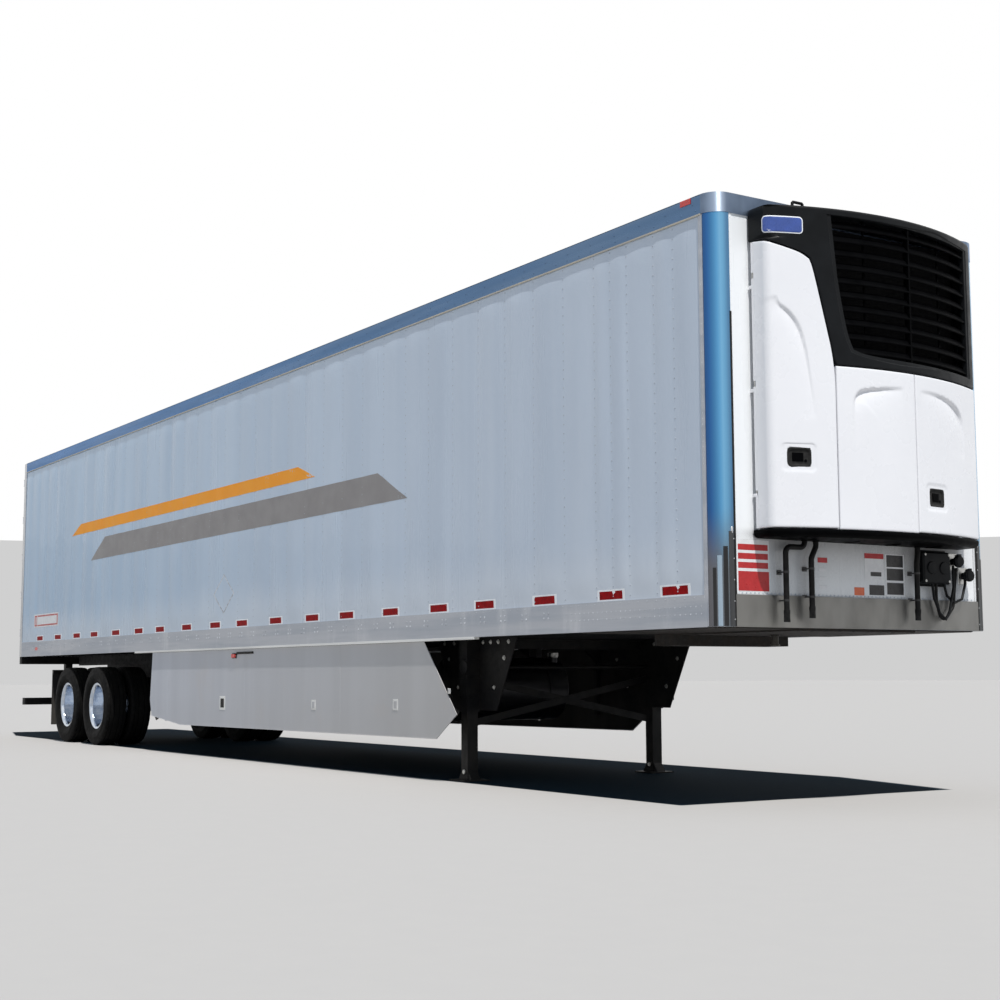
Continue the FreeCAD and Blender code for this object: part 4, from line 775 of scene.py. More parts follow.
UNIT_EDGE = 0.180                       # depth of the unit at its outer edges
UNIT_FILLET = 0.065                     # rounded corner between its front and its sides
rise = unit_front - nose - UNIT_EDGE
bow = (unit_half ** 2 + rise ** 2) / (2 * rise)
bow_x = unit_front - bow
fillet_y = unit_half - UNIT_FILLET
fillet_x = bow_x + math.sqrt((bow - UNIT_FILLET) ** 2 - fillet_y ** 2)
bow_turn = math.atan2(fillet_y, fillet_x - bow_x)
front_run = bow * bow_turn
corner_run = front_run + UNIT_FILLET * (math.pi / 2 - bow_turn)
side_run = corner_run + fillet_x - nose
HINGE_X, HINGE_Y = nose + 0.032, unit_half - 0.009
door_run = corner_run + fillet_x - (HINGE_X + 0.014)
KERB_SEAM, ROAD_SEAM, PANEL_GAP = -0.545, 0.150, 0.007
KERB_TOP = 3.786
KERB_PIN_TOP = 3.700
LUG_SHARES = (0.12, 0.5, 0.88)          # where a door's hinge lugs stand, from its foot to its head


def unit_point(run, z, depth=0.0):
    """A point on the unit's wrap-round face; run is measured along it from the centre line, left positive."""
    side = 1 if run >= 0 else -1
    run = abs(run)
    if run <= front_run:
        turn = run / bow
        x, y = bow_x + (bow - depth) * math.cos(turn), (bow - depth) * math.sin(turn)
    elif run <= corner_run:
        turn = bow_turn + (run - front_run) / UNIT_FILLET
        x = fillet_x + (UNIT_FILLET - depth) * math.cos(turn)
        y = fillet_y + (UNIT_FILLET - depth) * math.sin(turn)
    else:
        x, y = fillet_x - (run - corner_run), unit_half - depth
    return x, side * y, z


def run_at(y):
    """The run of a point of the bowed front, from its distance off the centre line."""
    return math.copysign(bow * math.asin(min(abs(y), 0.94) / bow), y)


def rounded(points, times=2):
    """Cuts the corners of an open line; its ends stay."""
    for _ in range(times):
        cut = [points[0]]
        for (a, b), (c, d) in zip(points, points[1:]):
            cut += [(a * 0.75 + c * 0.25, b * 0.75 + d * 0.25), (a * 0.25 + c * 0.75, b * 0.25 + d * 0.75)]
        points = cut + [points[-1]]
    return points


def line(a, b):
    return lambda share: (a[0] + (b[0] - a[0]) * share, a[1] + (b[1] - a[1]) * share)


def along(points):
    """A function from 0 to 1 that follows a line at an even pace."""
    lengths = [math.dist(a, b) for a, b in zip(points, points[1:])]

    def at(share):
        goal = share * sum(lengths)
        for a, b, length in zip(points, points[1:], lengths):
            if goal <= length or b == points[-1]:
                return line(a, b)(min(goal / max(length, 1e-9), 1.0))
            goal -= length

    return at


def brow(path, weights, depth):
    """A moulded step along a line of (y, z), deepest on its inner side and fading away from it."""
    path = [(run_at(y), z) for y, z in path]
    steps, fine = len(path) - 1, rounded(path)
    width, fade = 0.022, 0.065

    def carve(run, z):
        best = (9.0,)
        for index, ((a, b), (c, d)) in enumerate(zip(fine, fine[1:])):
            ex, ez = c - a, d - b
            part = min(max(((run - a) * ex + (z - b) * ez) / (ex * ex + ez * ez), 0.0), 1.0)
            gap = math.hypot(run - a - ex * part, z - b - ez * part)
            if gap < best[0]:
                best = (gap, math.copysign(gap, ez * (run - a) - ex * (z - b)), (index + part) / (len(fine) - 1))
        gap, signed, share = best
        if gap > fade * 4:
            return 0.0
        spot = share * steps
        low = min(int(spot), steps - 1)
        weight = weights[low] + (weights[low + 1] - weights[low]) * (spot - low)
        return depth * weight * smooth(-width / 2, width / 2, signed) * math.exp(-max(signed, 0.0) / fade)

    return carve


def pocket(y0, y1, z0, z1, depth, soft, inset=0.0):
    """A recess with soft walls and round corners, an inset inside a frame."""
    middle, half_wide = (run_at(y0 + inset) + run_at(y1 - inset)) / 2, (run_at(y1 - inset) - run_at(y0 + inset)) / 2
    centre, half_tall = (z0 + z1) / 2, (z1 - z0) / 2 - inset
    corner, reach = 0.03, 0.05

    def carve(run, z):
        aside, up = abs(run - middle) - half_wide, abs(z - centre) - half_tall
        if aside > reach or up > reach:
            return 0.0
        return depth * smooth(soft / 2, -soft / 2, math.hypot(max(aside + corner, 0), max(up + corner, 0)) - corner)

    return carve


def coons(bottom, head, left, right):
    """A patch between four edges in (run, z); each edge is a function of 0 to 1."""
    corners = bottom(0), bottom(1), head(0), head(1)

    def at(u, v):
        weights = (1 - u) * (1 - v), u * (1 - v), (1 - u) * v, u * v
        return [(1 - v) * b + v * t + (1 - u) * l + u * r - sum(w * c for w, c in zip(weights, ends))
                for b, t, l, r, *ends in zip(bottom(u), head(u), left(v), right(v), *corners)]

    return at


def oblong(a, b, z0, z1):
    return coons(line((a, z0), (b, z0)), line((a, z1), (b, z1)), line((a, z0), (a, z1)), line((b, z0), (b, z1)))


def moulding(shape, patch, wide, tall, carves, thickness=0.022, edge=0.009, pitch=0.0105, mark=0, lift=0.0,
             fine=((), ())):
    """A moulded panel on the unit's face, with rounded edges and what its carves take away."""
    us, vs = ([value / size for value in sorted(edged(0.0, size, pitch) + list(more))]
              for size, more in zip((wide, tall), fine))
    front, back = [], []
    for v in vs:
        places = [patch(u, v) for u in us]
        rims = [min(u * wide, (1 - u) * wide, v * tall, (1 - v) * tall) for u in us]
        front.append([unit_point(run, z, rounding(rim, edge) - lift + sum(carve(run, z) for carve in carves))
                      for (run, z), rim in zip(places, rims)])
        back.append([unit_point(run, z, thickness) for run, z in places])
    shape.shell(front, back, mark)


def flat_moulding(shape, y0, y1, z0, z1, carves=(), **options):
    a, b = run_at(y0), run_at(y1)
    moulding(shape, oblong(a, b, z0, z1), b - a, z1 - z0, carves, **options)


KERB_EDGE = rounded([(run_at(y), z) for y, z in ((KERB_SEAM, tray_top), (KERB_SEAM, 2.60), (KERB_SEAM, 2.94),
                                                 (-0.62, 3.28), (-0.69, 3.60), (-0.715, 3.655))])
KERB_HEAD = rounded([(-door_run, KERB_TOP), (-corner_run, KERB_TOP - 0.014), (-front_run, 3.752),
                     (run_at(-0.86), 3.722), (run_at(-0.77), 3.692), (run_at(-0.715), 3.655)])
LATCH_SUNK = 0.004


def make_unit_door(name, side, patch, wide, tall, start, head, crease, surround, cup):
    """A moulded door with its latch in a shallow surround, and what joins it to the hinge pin."""
    door = Shape()
    y0, y1, z0, z1 = cup
    steps = [[value - origin + k * 0.0026 for value in values for k in range(-4, 5)]
             for values, origin in (((run_at(y0), run_at(y1)), start), ((z0, z1), tray_top))]
    moulding(door, patch, wide, tall, [brow(*crease), pocket(*surround, LATCH_SUNK, 0.010),
                                       pocket(*cup, 0.0185, 0.005, 0.005)], fine=steps)
    middle = (y0 + y1) / 2
    flat_moulding(door, *cup, [pocket(*cup, 0.010, 0.010, 0.014)], thickness=0.021, edge=0.003, pitch=0.006, mark=1,
                  lift=-LATCH_SUNK)
    flat_moulding(door, middle - 0.045, middle + 0.030, z0 + 0.040, z1 - 0.034, thickness=0.018, edge=0.004,
                  pitch=0.008, mark=2, lift=-LATCH_SUNK - 0.004)
    pivot, low = run_at(middle + 0.045), z0 + 0.045
    door.rod(unit_point(pivot, low, LATCH_SUNK + 0.012), unit_point(pivot, low, LATCH_SUNK + 0.006), 0.010, 14,
             0.001, 2)
    door.sides = (side,)
    stops = [tray_top + 0.001, head - 0.004]
    stops = sorted(stops + [tray_top + (head - tray_top) * share + gap for share in LUG_SHARES
                            for gap in (-0.020, 0.020)])
    for low, high in zip(stops[::2], stops[1::2]):
        door.rod((HINGE_X, HINGE_Y, low), (HINGE_X, HINGE_Y, high), 0.0088, 14, 0.001)
        door.block((HINGE_X + 0.004, unit_half - 0.0005, low), (HINGE_X + 0.018, unit_half - 0.014, high), 0.001)
    door.done(f"unit_panel_{name}", "unit_white hole_black grille_black", f"unit_door_{name}",
              f"unit_door_{name}")


def make_unit_doors():
    seam, start = run_at(KERB_SEAM), run_at(ROAD_SEAM)
    make_unit_door(
        "kerb", -1, coons(line((-door_run, tray_top), (seam, tray_top)), along(KERB_HEAD),
                          line((-door_run, tray_top), (-door_run, KERB_TOP)), along(KERB_EDGE)),
        door_run + seam, sum(map(math.dist, KERB_EDGE, KERB_EDGE[1:])), -door_run, KERB_TOP,
        (((-1.06, 3.39), (-0.93, 3.335), (-0.856, 3.286), (-0.79, 3.186), (-0.749, 3.03), (-0.726, 2.84),
          (-0.69, 2.57)), (0.0, 0.6, 1.1, 1.2, 0.8, 0.4, 0.0), 0.018),
        (-0.925, -0.700, 2.214, 2.398), (-0.896, -0.729, 2.240, 2.372))
    make_unit_door(
        "road", 1, oblong(start, door_run, tray_top, lower_top), door_run - start, lower_top - tray_top, start,
        lower_top,
        (((0.20, 2.822), (0.36, 2.818), (0.52, 2.80), (0.64, 2.765), (0.72, 2.70), (0.745, 2.60), (0.75, 2.40)),
         (0.0, 0.45, 1.0, 1.35, 1.1, 0.4, 0.0), 0.020), (0.238, 0.476, 2.000, 2.180), (0.268, 0.446, 2.024, 2.156))


def make_centre_panel():
    """The fixed centre panel, the back plate, the flange on the nose wall, ribs, lugs and the evaporator."""
    housing = Shape()
    start, end, foot = KERB_SEAM + PANEL_GAP, ROAD_SEAM - PANEL_GAP, tray_top - PANEL_GAP
    crease = brow([(-0.412, 2.25), (-0.412, 2.50), (-0.408, 2.66), (-0.392, 2.735), (-0.345, 2.779), (-0.26, 2.795),
                   (-0.12, 2.808), (0.03, 2.822)], (0.0, 0.15, 0.4, 1.1, 1.5, 1.1, 0.6, 0.0), 0.020)
    flat_moulding(housing, start, end, foot, lower_top, [crease])
    housing.block((nose, -unit_half + 0.042, foot), (nose + 0.020, unit_half - 0.042, unit_top - 0.032))
    housing.block((front_out, -0.880, 2.0), (nose, 0.880, rail_base - 0.060))
    for y in (start, end - 0.010):
        depth = unit_point(run_at(y), 0, 0.024)[0]
        housing.block((nose + 0.018, y, foot), (depth, y + 0.010, lower_top), 0.001)
    for side, head in ((-1, KERB_PIN_TOP), (1, lower_top)):
        housing.sides = (side,)
        housing.block((nose, unit_half - 0.060, -0.012), (HINGE_X + 0.008, unit_half - 0.001, 0.012), 0.003, 0,
                      (0, 0, [tray_top + (head - tray_top) * share for share in LUG_SHARES]))
        housing.rod((HINGE_X, HINGE_Y, tray_top), (HINGE_X, HINGE_Y, head), 0.004, 10, 0.001, 2)
    housing.sides = MIDDLE
    inner = front_in - 0.120
    housing.block((inner, -0.850, 3.0), (front_out, 0.850, 3.85), 0.010)
    housing.block((inner - 0.0001, -0.78, 0), (inner + 0.008, 0.78, 0.010), 0.002, 1, (0, 0, spaced(3.05, 3.40, 0.025)))
    housing.block((inner - 0.0001, -0.70, 3.50), (inner + 0.010, 0.70, 3.78), 0.006, 1)
    housing.lathe([(0.0, 0.13), (0.004, 0.13), (0.006, 0.12), (0.006, 0.02)], (inner - 0.0002, (-0.35, 0.35), 3.64),
                  -X, 32, 2)
    housing.rivet((inner, spaced(-0.82, 0.82, 0.205), (3.02, 3.83)), -X, 0.007, 0.003, 8, 2)
    housing.done("unit_frame", "unit_white frame_black zinc", "unit_housing")


def shroud_head(run):
    """The shroud's upper edge, lower where it rounds off to the sides."""
    return unit_top - 0.003 * smooth(0.85, 1.12, abs(run))


OPENING = [(-0.395, 3.056), (-0.300, 3.026), (0.0, 3.012), (0.875, 3.008), (0.875, 3.945), (-0.545, 3.968),
           (-0.505, 3.520), (-0.445, 3.170)]
SHROUD_FOOT, SHROUD_GAP = 2.940, 0.009


def shroud_loops():
    """The shroud's outer edge and, point for point, the edge of the grille opening."""
    gap, far = SHROUD_GAP, side_run - 0.001
    kerb = [(run + gap * (0.6 if z > 3.70 else 1.0), z + (gap if z > 3.66 else 0.0)) for run, z in KERB_HEAD]
    kerb = [(-far, KERB_TOP + gap)] + [point for point in kerb if point[0] > -corner_run]
    rising = [(run + gap * 0.9, z) for run, z in KERB_EDGE if z > 2.945]
    foot = (run_at(KERB_SEAM) + gap, SHROUD_FOOT)
    corner = (run_at(-0.715) + gap * 0.8, 3.655 + gap * 0.8)
    inner = [(run_at(y), z) for y, z in OPENING]
    right_low, right_high, left_high = inner[3:6]
    high_end, low_end = (run_at(-0.540), 3.910), (run_at(-0.512), 3.600)

    def over(share):
        run = far - 2 * far * share
        return run, shroud_head(run)

    loops = ([], [])
    for outer, opening, steps in (
            (line(foot, (far, SHROUD_FOOT)), along(rounded(inner[:4])), 70),
            (line((far, SHROUD_FOOT), over(0)), line(right_low, right_high), 30),
            (over, line(right_high, left_high), 80),
            (line(over(1), kerb[0]), line(left_high, high_end), 8),
            (along(kerb + [corner]), line(high_end, low_end), 26),
            (along([corner] + rising[::-1] + [foot]), along(rounded([low_end, *inner[6:], inner[0]])), 34)):
        for loop, edge in zip(loops, (outer, opening)):
            loop += [edge(step / steps) for step in range(steps)]
    return loops


def make_shroud():
    """The black upper shroud: a bowed face round the grille opening, rolled over into its lid."""
    shroud = Shape()
    loops = list(zip(*shroud_loops()))
    steps = [("in", value) for value in (0.0, 0.0015, 0.004, 0.026, 0.029, 0.033, 0.040)]
    steps += [("share", k / 9) for k in range(1, 8)]
    steps += [("out", value) for value in (0.030, 0.022, 0.015, 0.009, 0.0045, 0.0015, 0.0)]
    front, back = [], []
    for kind, value in steps:
        rows = ([], [])
        for p, q in loops:
            length = math.dist(p, q)
            low, high = min(0.042, length * 0.3), max(length - 0.032, length * 0.7)
            away = {"in": min(value, length * 0.3), "share": low + (high - low) * value,
                    "out": length - min(value, length * 0.3)}[kind]
            run, z = line(q, p)(away / length)
            below_head = shroud_head(run) - z
            depth = rounding(length - away, 0.009) if below_head > 0.022 else rounding(max(below_head, 0.0), 0.022)
            depth += 0.006 * smooth(0.034, 0.027, away) + rounding(away, 0.004)
            rows[0].append(unit_point(run, z, depth))
            rows[1].append(unit_point(run, min(z, shroud_head(run) - 0.012), depth + 0.030))
        front.append(rows[0])
        back.append(rows[1])
    shroud.rings(front + back[::-1] + [front[0]], 0, False)
    lid = []
    for run in spaced(-side_run + 0.001, side_run - 0.001, 0.03):
        x, y, head = unit_point(run, shroud_head(run), 0.0215)
        inward = max(min(y, unit_half - 0.030), -unit_half + 0.030)
        lid.append([(x + (nose + 0.0005 - x) * share, inward, head) for share in (0, 0.5, 1)])
    shroud.shell(lid, [[(x, y, z - 0.010) for x, y, z in row] for row in lid])
    eye = -0.715
    x, head = unit_point(run_at(eye), 0)[0] - 0.10, shroud_head(run_at(eye))
    shroud.tube([(x, eye + aside, head + up) for aside, up in (
        (-0.046, -0.01), (-0.046, 0.036), (-0.038, 0.043), (0.038, 0.043), (0.046, 0.036), (0.046, -0.01))], 0.011, 10)
    badge(shroud, -front_run - 0.068, run_at(-0.753), 3.819, 3.936)
    shroud.done("unit_cowl", "unit_black stripe_blue white_tape", "unit_shroud")


def badge(shape, start, end, z0, z1):
    """A blank blue plate with round corners and a pale rim, beside the grille."""
    middle, centre = (start + end) / 2, (z0 + z1) / 2
    for inset, lift, mark in ((0.0, 0.0018, 2), (0.007, 0.0030, 1)):
        radius = 0.028 - inset
        wide, tall = (end - start) / 2 - inset - radius, (z1 - z0) / 2 - inset - radius
        loop = []
        for sx, sz, first in ((1, 1, 0), (-1, 1, 90), (-1, -1, 180), (1, -1, 270)):
            for k in range(7):
                turn = math.radians(first + 15 * k)
                loop.append((sx * wide + radius * math.cos(turn), sz * tall + radius * math.sin(turn)))
            run, z = loop[-1]
            if first in (0, 180):
                loop += [(run - sx * 2 * wide * k / 14, z) for k in range(1, 14)]
        shape.rings([[unit_point(middle + run * share, centre + z * share, depth) for run, z in loop]
                     for depth, share in ((0.004, 1.0), (-lift + 0.0006, 1.0), (-lift, 0.985), (-lift, 0.75),
                                          (-lift, 0.5), (-lift, 0.25), (-lift, 0.02))], mark)


def opening_left(z):
    """Where the opening begins at a height, on its slanting side."""
    points = [*OPENING[5:], OPENING[0]]
    for (y0, z0), (y1, z1) in zip(points, points[1:]):
        if z1 <= z <= z0:
            return y0 + (y1 - y0) * (z0 - z) / (z0 - z1)
    return -0.30


def make_louvres():
    """Slanting bowed louvres, a post down the middle, and two bars behind them."""
    grille = Shape()
    low, high, count = 3.012, 3.960, 10
    section = [(0.020, -0.030), (0.013, -0.026), (0.0125, -0.020), (0.020, -0.012), (0.046, 0.024), (0.054, 0.030),
               (0.056, 0.024), (0.028, -0.022)]
    for index in range(count):
        z = low + (high - low) / count * (index + 0.5)
        grille.rings([[unit_point(run, z + lift, depth) for depth, lift in section]
                      for run in spaced(run_at(opening_left(z) - 0.012), run_at(0.885), 0.055)])
    post = ((-0.008, 0.016), (-0.006, 0.014), (0.006, 0.014), (0.008, 0.016), (0.008, 0.060), (-0.008, 0.060))
    bar = ((-0.006, 0.058), (0.006, 0.058), (0.006, 0.070), (-0.006, 0.070))
    for y, outline in ((0.14, post), (-0.25, bar), (0.55, bar)):
        grille.rings([[unit_point(run_at(y + aside), z, depth) for aside, depth in outline]
                      for z in spaced(low - 0.02, high + 0.02, 0.24)])
    grille.done("unit_louvres", "grille_black", "unit_grille")


def make_tray():
    """The black base tray, rounded at its rim, and ribbed on its underside."""
    tray = Shape()
    runs = spaced(-side_run + 0.001, side_run - 0.001, 0.03)
    foot, rim = unit_foot, tray_rim
    tray.rings([[unit_point(run, z, depth) for run in runs] for z, depth in (
        (foot - 0.020, 0.034), (foot - 0.019, 0.028), (foot - 0.012, 0.016), (foot, 0.004), (foot + 0.012, 0.0),
        (rim - 0.006, 0.0), (rim - 0.002, 0.002), (rim, 0.006))])
    tray.block((nose + 0.03, -0.010, foot - 0.025), (nose + 0.17, 0.010, foot - 0.019), 0.002, 0,
               (0, (-0.6, -0.2, 0.2, 0.6), 0))
    tray.lathe([(0.004, 0.026), (-0.026, 0.026)], (nose + HOSE_OFF, (-0.600, -0.500, 0.480), foot), Z, 20)
    tray.done("unit_tray", "grille_black", "unit_base")


def make_engine():
    """Engine, compressor, pulleys, filters and pipes behind the unit's doors."""
    (x, y0, z), (_, y1, _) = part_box("unit_engine")
    work = Shape()
    work.block((x + 0.01, y0 + 0.13, z), (x + 0.20, y1 - 0.12, z + 0.30), 0.012)
    work.block((x + 0.03, y0 + 0.15, z + 0.30), (x + 0.17, y1 - 0.14, z + 0.40), 0.010)
    for start, end, radius, sides, edge, mark in (
            *(((x + 0.12, y0 + 0.17 + 0.052 * k, z + 0.39), (x + 0.12, y0 + 0.17 + 0.052 * k, z + 0.43), 0.014, 12,
               0.003, 1) for k in range(4)),
            ((x + 0.10, y0 + 0.005, z + 0.18), (x + 0.10, y0 + 0.13, z + 0.18), 0.075, 32, 0.006, 0),
            ((x + 0.11, y0 + 0.001, z + 0.42), (x + 0.11, y0 + 0.04, z + 0.42), 0.050, 32, 0.004, 0),
            ((x + 0.09, y1 - 0.13, z + 0.16), (x + 0.09, y1 - 0.002, z + 0.16), 0.080, 32, 0.008, 0),
            ((x + 0.16, y0 + 0.24, z + 0.02), (x + 0.16, y0 + 0.24, z + 0.16), 0.040, 24, 0.006, 1),
            ((x + 0.16, y0 + 0.34, z + 0.02), (x + 0.16, y0 + 0.34, z + 0.14), 0.036, 24, 0.006, 3),
            ((x + 0.07, y0 + 0.08, z + 0.53), (x + 0.07, y1 - 0.08, z + 0.53), 0.060, 28, 0.010, 1)):
        work.rod(start, end, radius, sides, edge, mark)
    work.lathe([(0, 0.084), (0.006, 0.084)], (x + 0.09, [y1 - 0.115 + 0.017 * k for k in range(6)], z + 0.16), Y)
    belt = [(x + middle + radius * math.cos(turn), y0 + 0.02, z + up + radius * math.sin(turn))
            for middle, up, radius, first in ((0.10, 0.18, 0.075, 180), (0.11, 0.42, 0.050, 0))
            for turn in map(math.radians, range(first, first + 181, 20))]
    work.tube(belt + belt[:1], 0.006, 8, 4)
    for k, (start, end, up) in enumerate(((0.12, 0.42, 0.48), (0.18, 0.46, 0.44), (0.22, 0.30, 0.58))):
        here = x + 0.18 + 0.012 * k
        work.tube([(here, y0 + start, z + 0.20), (here + 0.02, y0 + start, z + up),
                   (here + 0.01, y0 + end, z + up + 0.01), (x + 0.10, y0 + end, z + 0.22)], 0.008, 10, 2)
    work.done("unit_power_pack", "engine zinc copper plate_white hose", "unit_engine")


# ---------------------------------------------------------------- wheels and tyres

AXLE_Z = 0.510
DUAL_MIDDLE, DUAL_HALF = 0.985, 0.165   # the middle of a pair of wheels, and half their spacing
BEAD = 0.286                            # radius of the rim where the tyre sits
NUT_CIRCLE, CAP_CIRCLE = 0.143, 0.086   # radii on which the wheel nuts and the hub cap's screws stand
HOLES = 10                              # hand holes in a wheel, and its nuts


def tyre_wave(along_axle, radius, index):
    """Cuts short slots across the shoulder ribs."""
    return 0.006 if radius >= 0.497 and abs(along_axle) >= 0.098 and index % 4 == 0 else 0.0


def tyre_section():
    """A trailer tyre's closed section: (along the axle, radius)."""
    wall = ((0.080, -0.0003), (0.088, 0.004), (0.0925, 0.016), (0.106, 0.030), (0.118, 0.046), (0.1195, 0.050),
            (0.1225, 0.052), (0.136, 0.085), (0.1415, 0.115), (0.1410, 0.135), (0.1385, 0.139), (0.1380, 0.158),
            (0.1345, 0.172), (0.1335, 0.186), (0.1290, 0.200))
    section = [(along_axle, BEAD + above) for along_axle, above in wall]
    section += [(0.1250, 0.499), (0.1180, 0.5055), (0.1010, 0.5068)]
    for groove in (0.089, 0.036):
        section += [(groove + aside, radius) for aside, radius in (
            (0.0055, 0.5075), (0.0040, 0.4955), (-0.0040, 0.4955), (-0.0055, 0.5090), (-0.0260, 0.5095))]
    section.append((0.0, 0.5098))
    return section + [(-along_axle, radius) for along_axle, radius in section[-2::-1]]


def cone(radius):
    """Where the outer face of the wheel disc stands along the axle, at a radius."""
    return DUAL_MIDDLE + 0.022 + 0.016 * smooth(0.178, 0.236, radius)


def slot_patch(shape, x, turn, inner, outer, hole_wide, hole_tall, thickness):
    """One sector of the wheel disc between two radii, with an oval hand hole through it."""
    sector, middle = math.tau / HOLES, (inner + outer) / 2
    corners = [(-0.5, inner), (0.5, inner), (0.5, outer), (-0.5, outer), (-0.5, inner)]
    steps = 7
    edge = [(angle * sector, radius) for a, b in zip(corners, corners[1:])
            for angle, radius in (line(a, b)(step / steps) for step in range(steps))]
    hole = []
    for angle, radius in edge:
        bearing = math.atan2((radius - middle) / hole_tall, angle * middle / hole_wide)
        hole.append((hole_wide * math.cos(bearing) / middle, middle + hole_tall * math.sin(bearing)))
    front, back = [], []
    for share in (0.0, 0.12, 0.5, 1.0):
        sink = 0.004 if share == 0.0 else 0.0
        places = [line(a, b)(share) for a, b in zip(hole, edge)]
        for rows, shift in ((front, -sink), (back, sink - thickness)):
            rows.append([(x + radius * math.cos(angle + turn), cone(radius) + shift,
                          AXLE_Z + radius * math.sin(angle + turn)) for angle, radius in places])
    shape.rings(front + back[::-1] + [front[0]], 0, False)


def make_wheel_sets():
    section = tyre_section()
    outer, inner = DUAL_MIDDLE + DUAL_HALF, DUAL_MIDDLE - DUAL_HALF
    lip, well = BEAD + 0.0137, BEAD - 0.0163
    barrel = [
        (outer + 0.1048, lip - 0.003), (outer + 0.1048, lip), (outer + 0.095, lip), (outer + 0.093, BEAD - 0.0003),
        (outer - 0.093, BEAD - 0.0003), (outer - 0.095, lip), (outer - 0.1048, lip), (outer - 0.1048, well - 0.004),
        (outer - 0.085, well - 0.020), (DUAL_MIDDLE + 0.012, 0.2475), (DUAL_MIDDLE + 0.012, 0.236),
        (DUAL_MIDDLE + 0.030, 0.236), (outer - 0.080, well - 0.034), (outer - 0.040, well - 0.018),
        (outer + 0.060, well - 0.010), (outer + 0.085, well - 0.006), (outer + 0.100, well + 0.004),
        (outer + 0.1040, lip - 0.006),
    ]

    def off_middle(profile):
        return [(DUAL_MIDDLE + out, radius) for out, radius in profile]

    for name, side in WHEEL_SETS:
        x = sum(corner.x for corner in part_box(f"tyres_{name}")) / 2
        tyres = Shape((side,))
        for middle in (outer, inner):
            tyres.ring(section, (x, middle, AXLE_Z), Y, 176, 0, tyre_wave)
        tyres.done(f"tyre_pair_{name}", "tyre", f"tyres_{name}", f"wheel_set_{name}")

        wheel = Shape((side,))
        origin = (x, 0.0, AXLE_Z)
        wheel.ring(barrel, origin, Y, 72)
        wheel.ring([(2 * DUAL_MIDDLE - along_axle, radius) for along_axle, radius in barrel], origin, Y, 72)
        for index in range(HOLES):
            slot_patch(wheel, x, math.tau * index / HOLES, 0.176, 0.240, 0.034, 0.020, 0.014)
        for profile, sides, mark in (
                ([(-0.022, 0.105), (-0.022, 0.177), (0.0218, 0.177), (0.0218, 0.105)], 60, 0),
                ([(-0.036, 0.176), (-0.036, 0.240), (-0.022, 0.240), (-0.022, 0.176)], 60, 0),
                ([(-0.14, 0.080), (-0.050, 0.105), (0.021, 0.1045), (0.060, 0.0975), (0.068, 0.094), (0.070, 0.078),
                  (0.098, 0.076), (0.106, 0.072), (0.1075, 0.050), (0.1185, 0.048), (0.1225, 0.040), (0.1235, 0.010)],
                 40, 1),
                ([(0.1232, 0.034), (0.1248, 0.034), (0.1248, 0.020)], 24, 3)):
            wheel.lathe(off_middle(profile), origin, Y, sides, mark)
        for a, b in round_loop(HOLES, math.pi / HOLES):
            nut = (x + NUT_CIRCLE * a, DUAL_MIDDLE + 0.0216, AXLE_Z + NUT_CIRCLE * b)
            for profile, sides in (([(0, 0.0215), (0.004, 0.0215), (0.005, 0.019)], 16),
                                   ([(0.003, 0.0165), (0.024, 0.0165), (0.026, 0.014)], 6),
                                   ([(0.02, 0.0105), (0.040, 0.0105), (0.042, 0.008)], 10)):
                wheel.lathe(profile, nut, Y, sides, 1)
        for a, b in round_loop(6):
            wheel.lathe([(0, 0.007), (0.006, 0.007), (0.007, 0.005)],
                        (x + CAP_CIRCLE * a, DUAL_MIDDLE + 0.0695, AXLE_Z + CAP_CIRCLE * b), Y, 6, 2)
        valve = Vector((x + 0.215, DUAL_MIDDLE + 0.06, AXLE_Z + 0.03))
        wheel.rod(valve, valve + Vector((0.012, 0.085, 0.004)), 0.0045, 10, 0.001, 2)
        drum = [(-0.038, 0.210), (-0.055, 0.2100), (-0.090, 0.2045), (-0.120, 0.2095), (-0.200, 0.2095),
                (-0.215, 0.2105), (-0.215, 0.196), (-0.050, 0.196), (-0.050, 0.110), (-0.036, 0.110)]
        wheel.ring(off_middle(drum), origin, Y, 60, 4)
        wheel.done(f"wheel_pair_{name}", "alloy hub_steel zinc plate_black drum", f"wheels_{name}",
                   f"wheel_set_{name}")


# ---------------------------------------------------------------- running gear

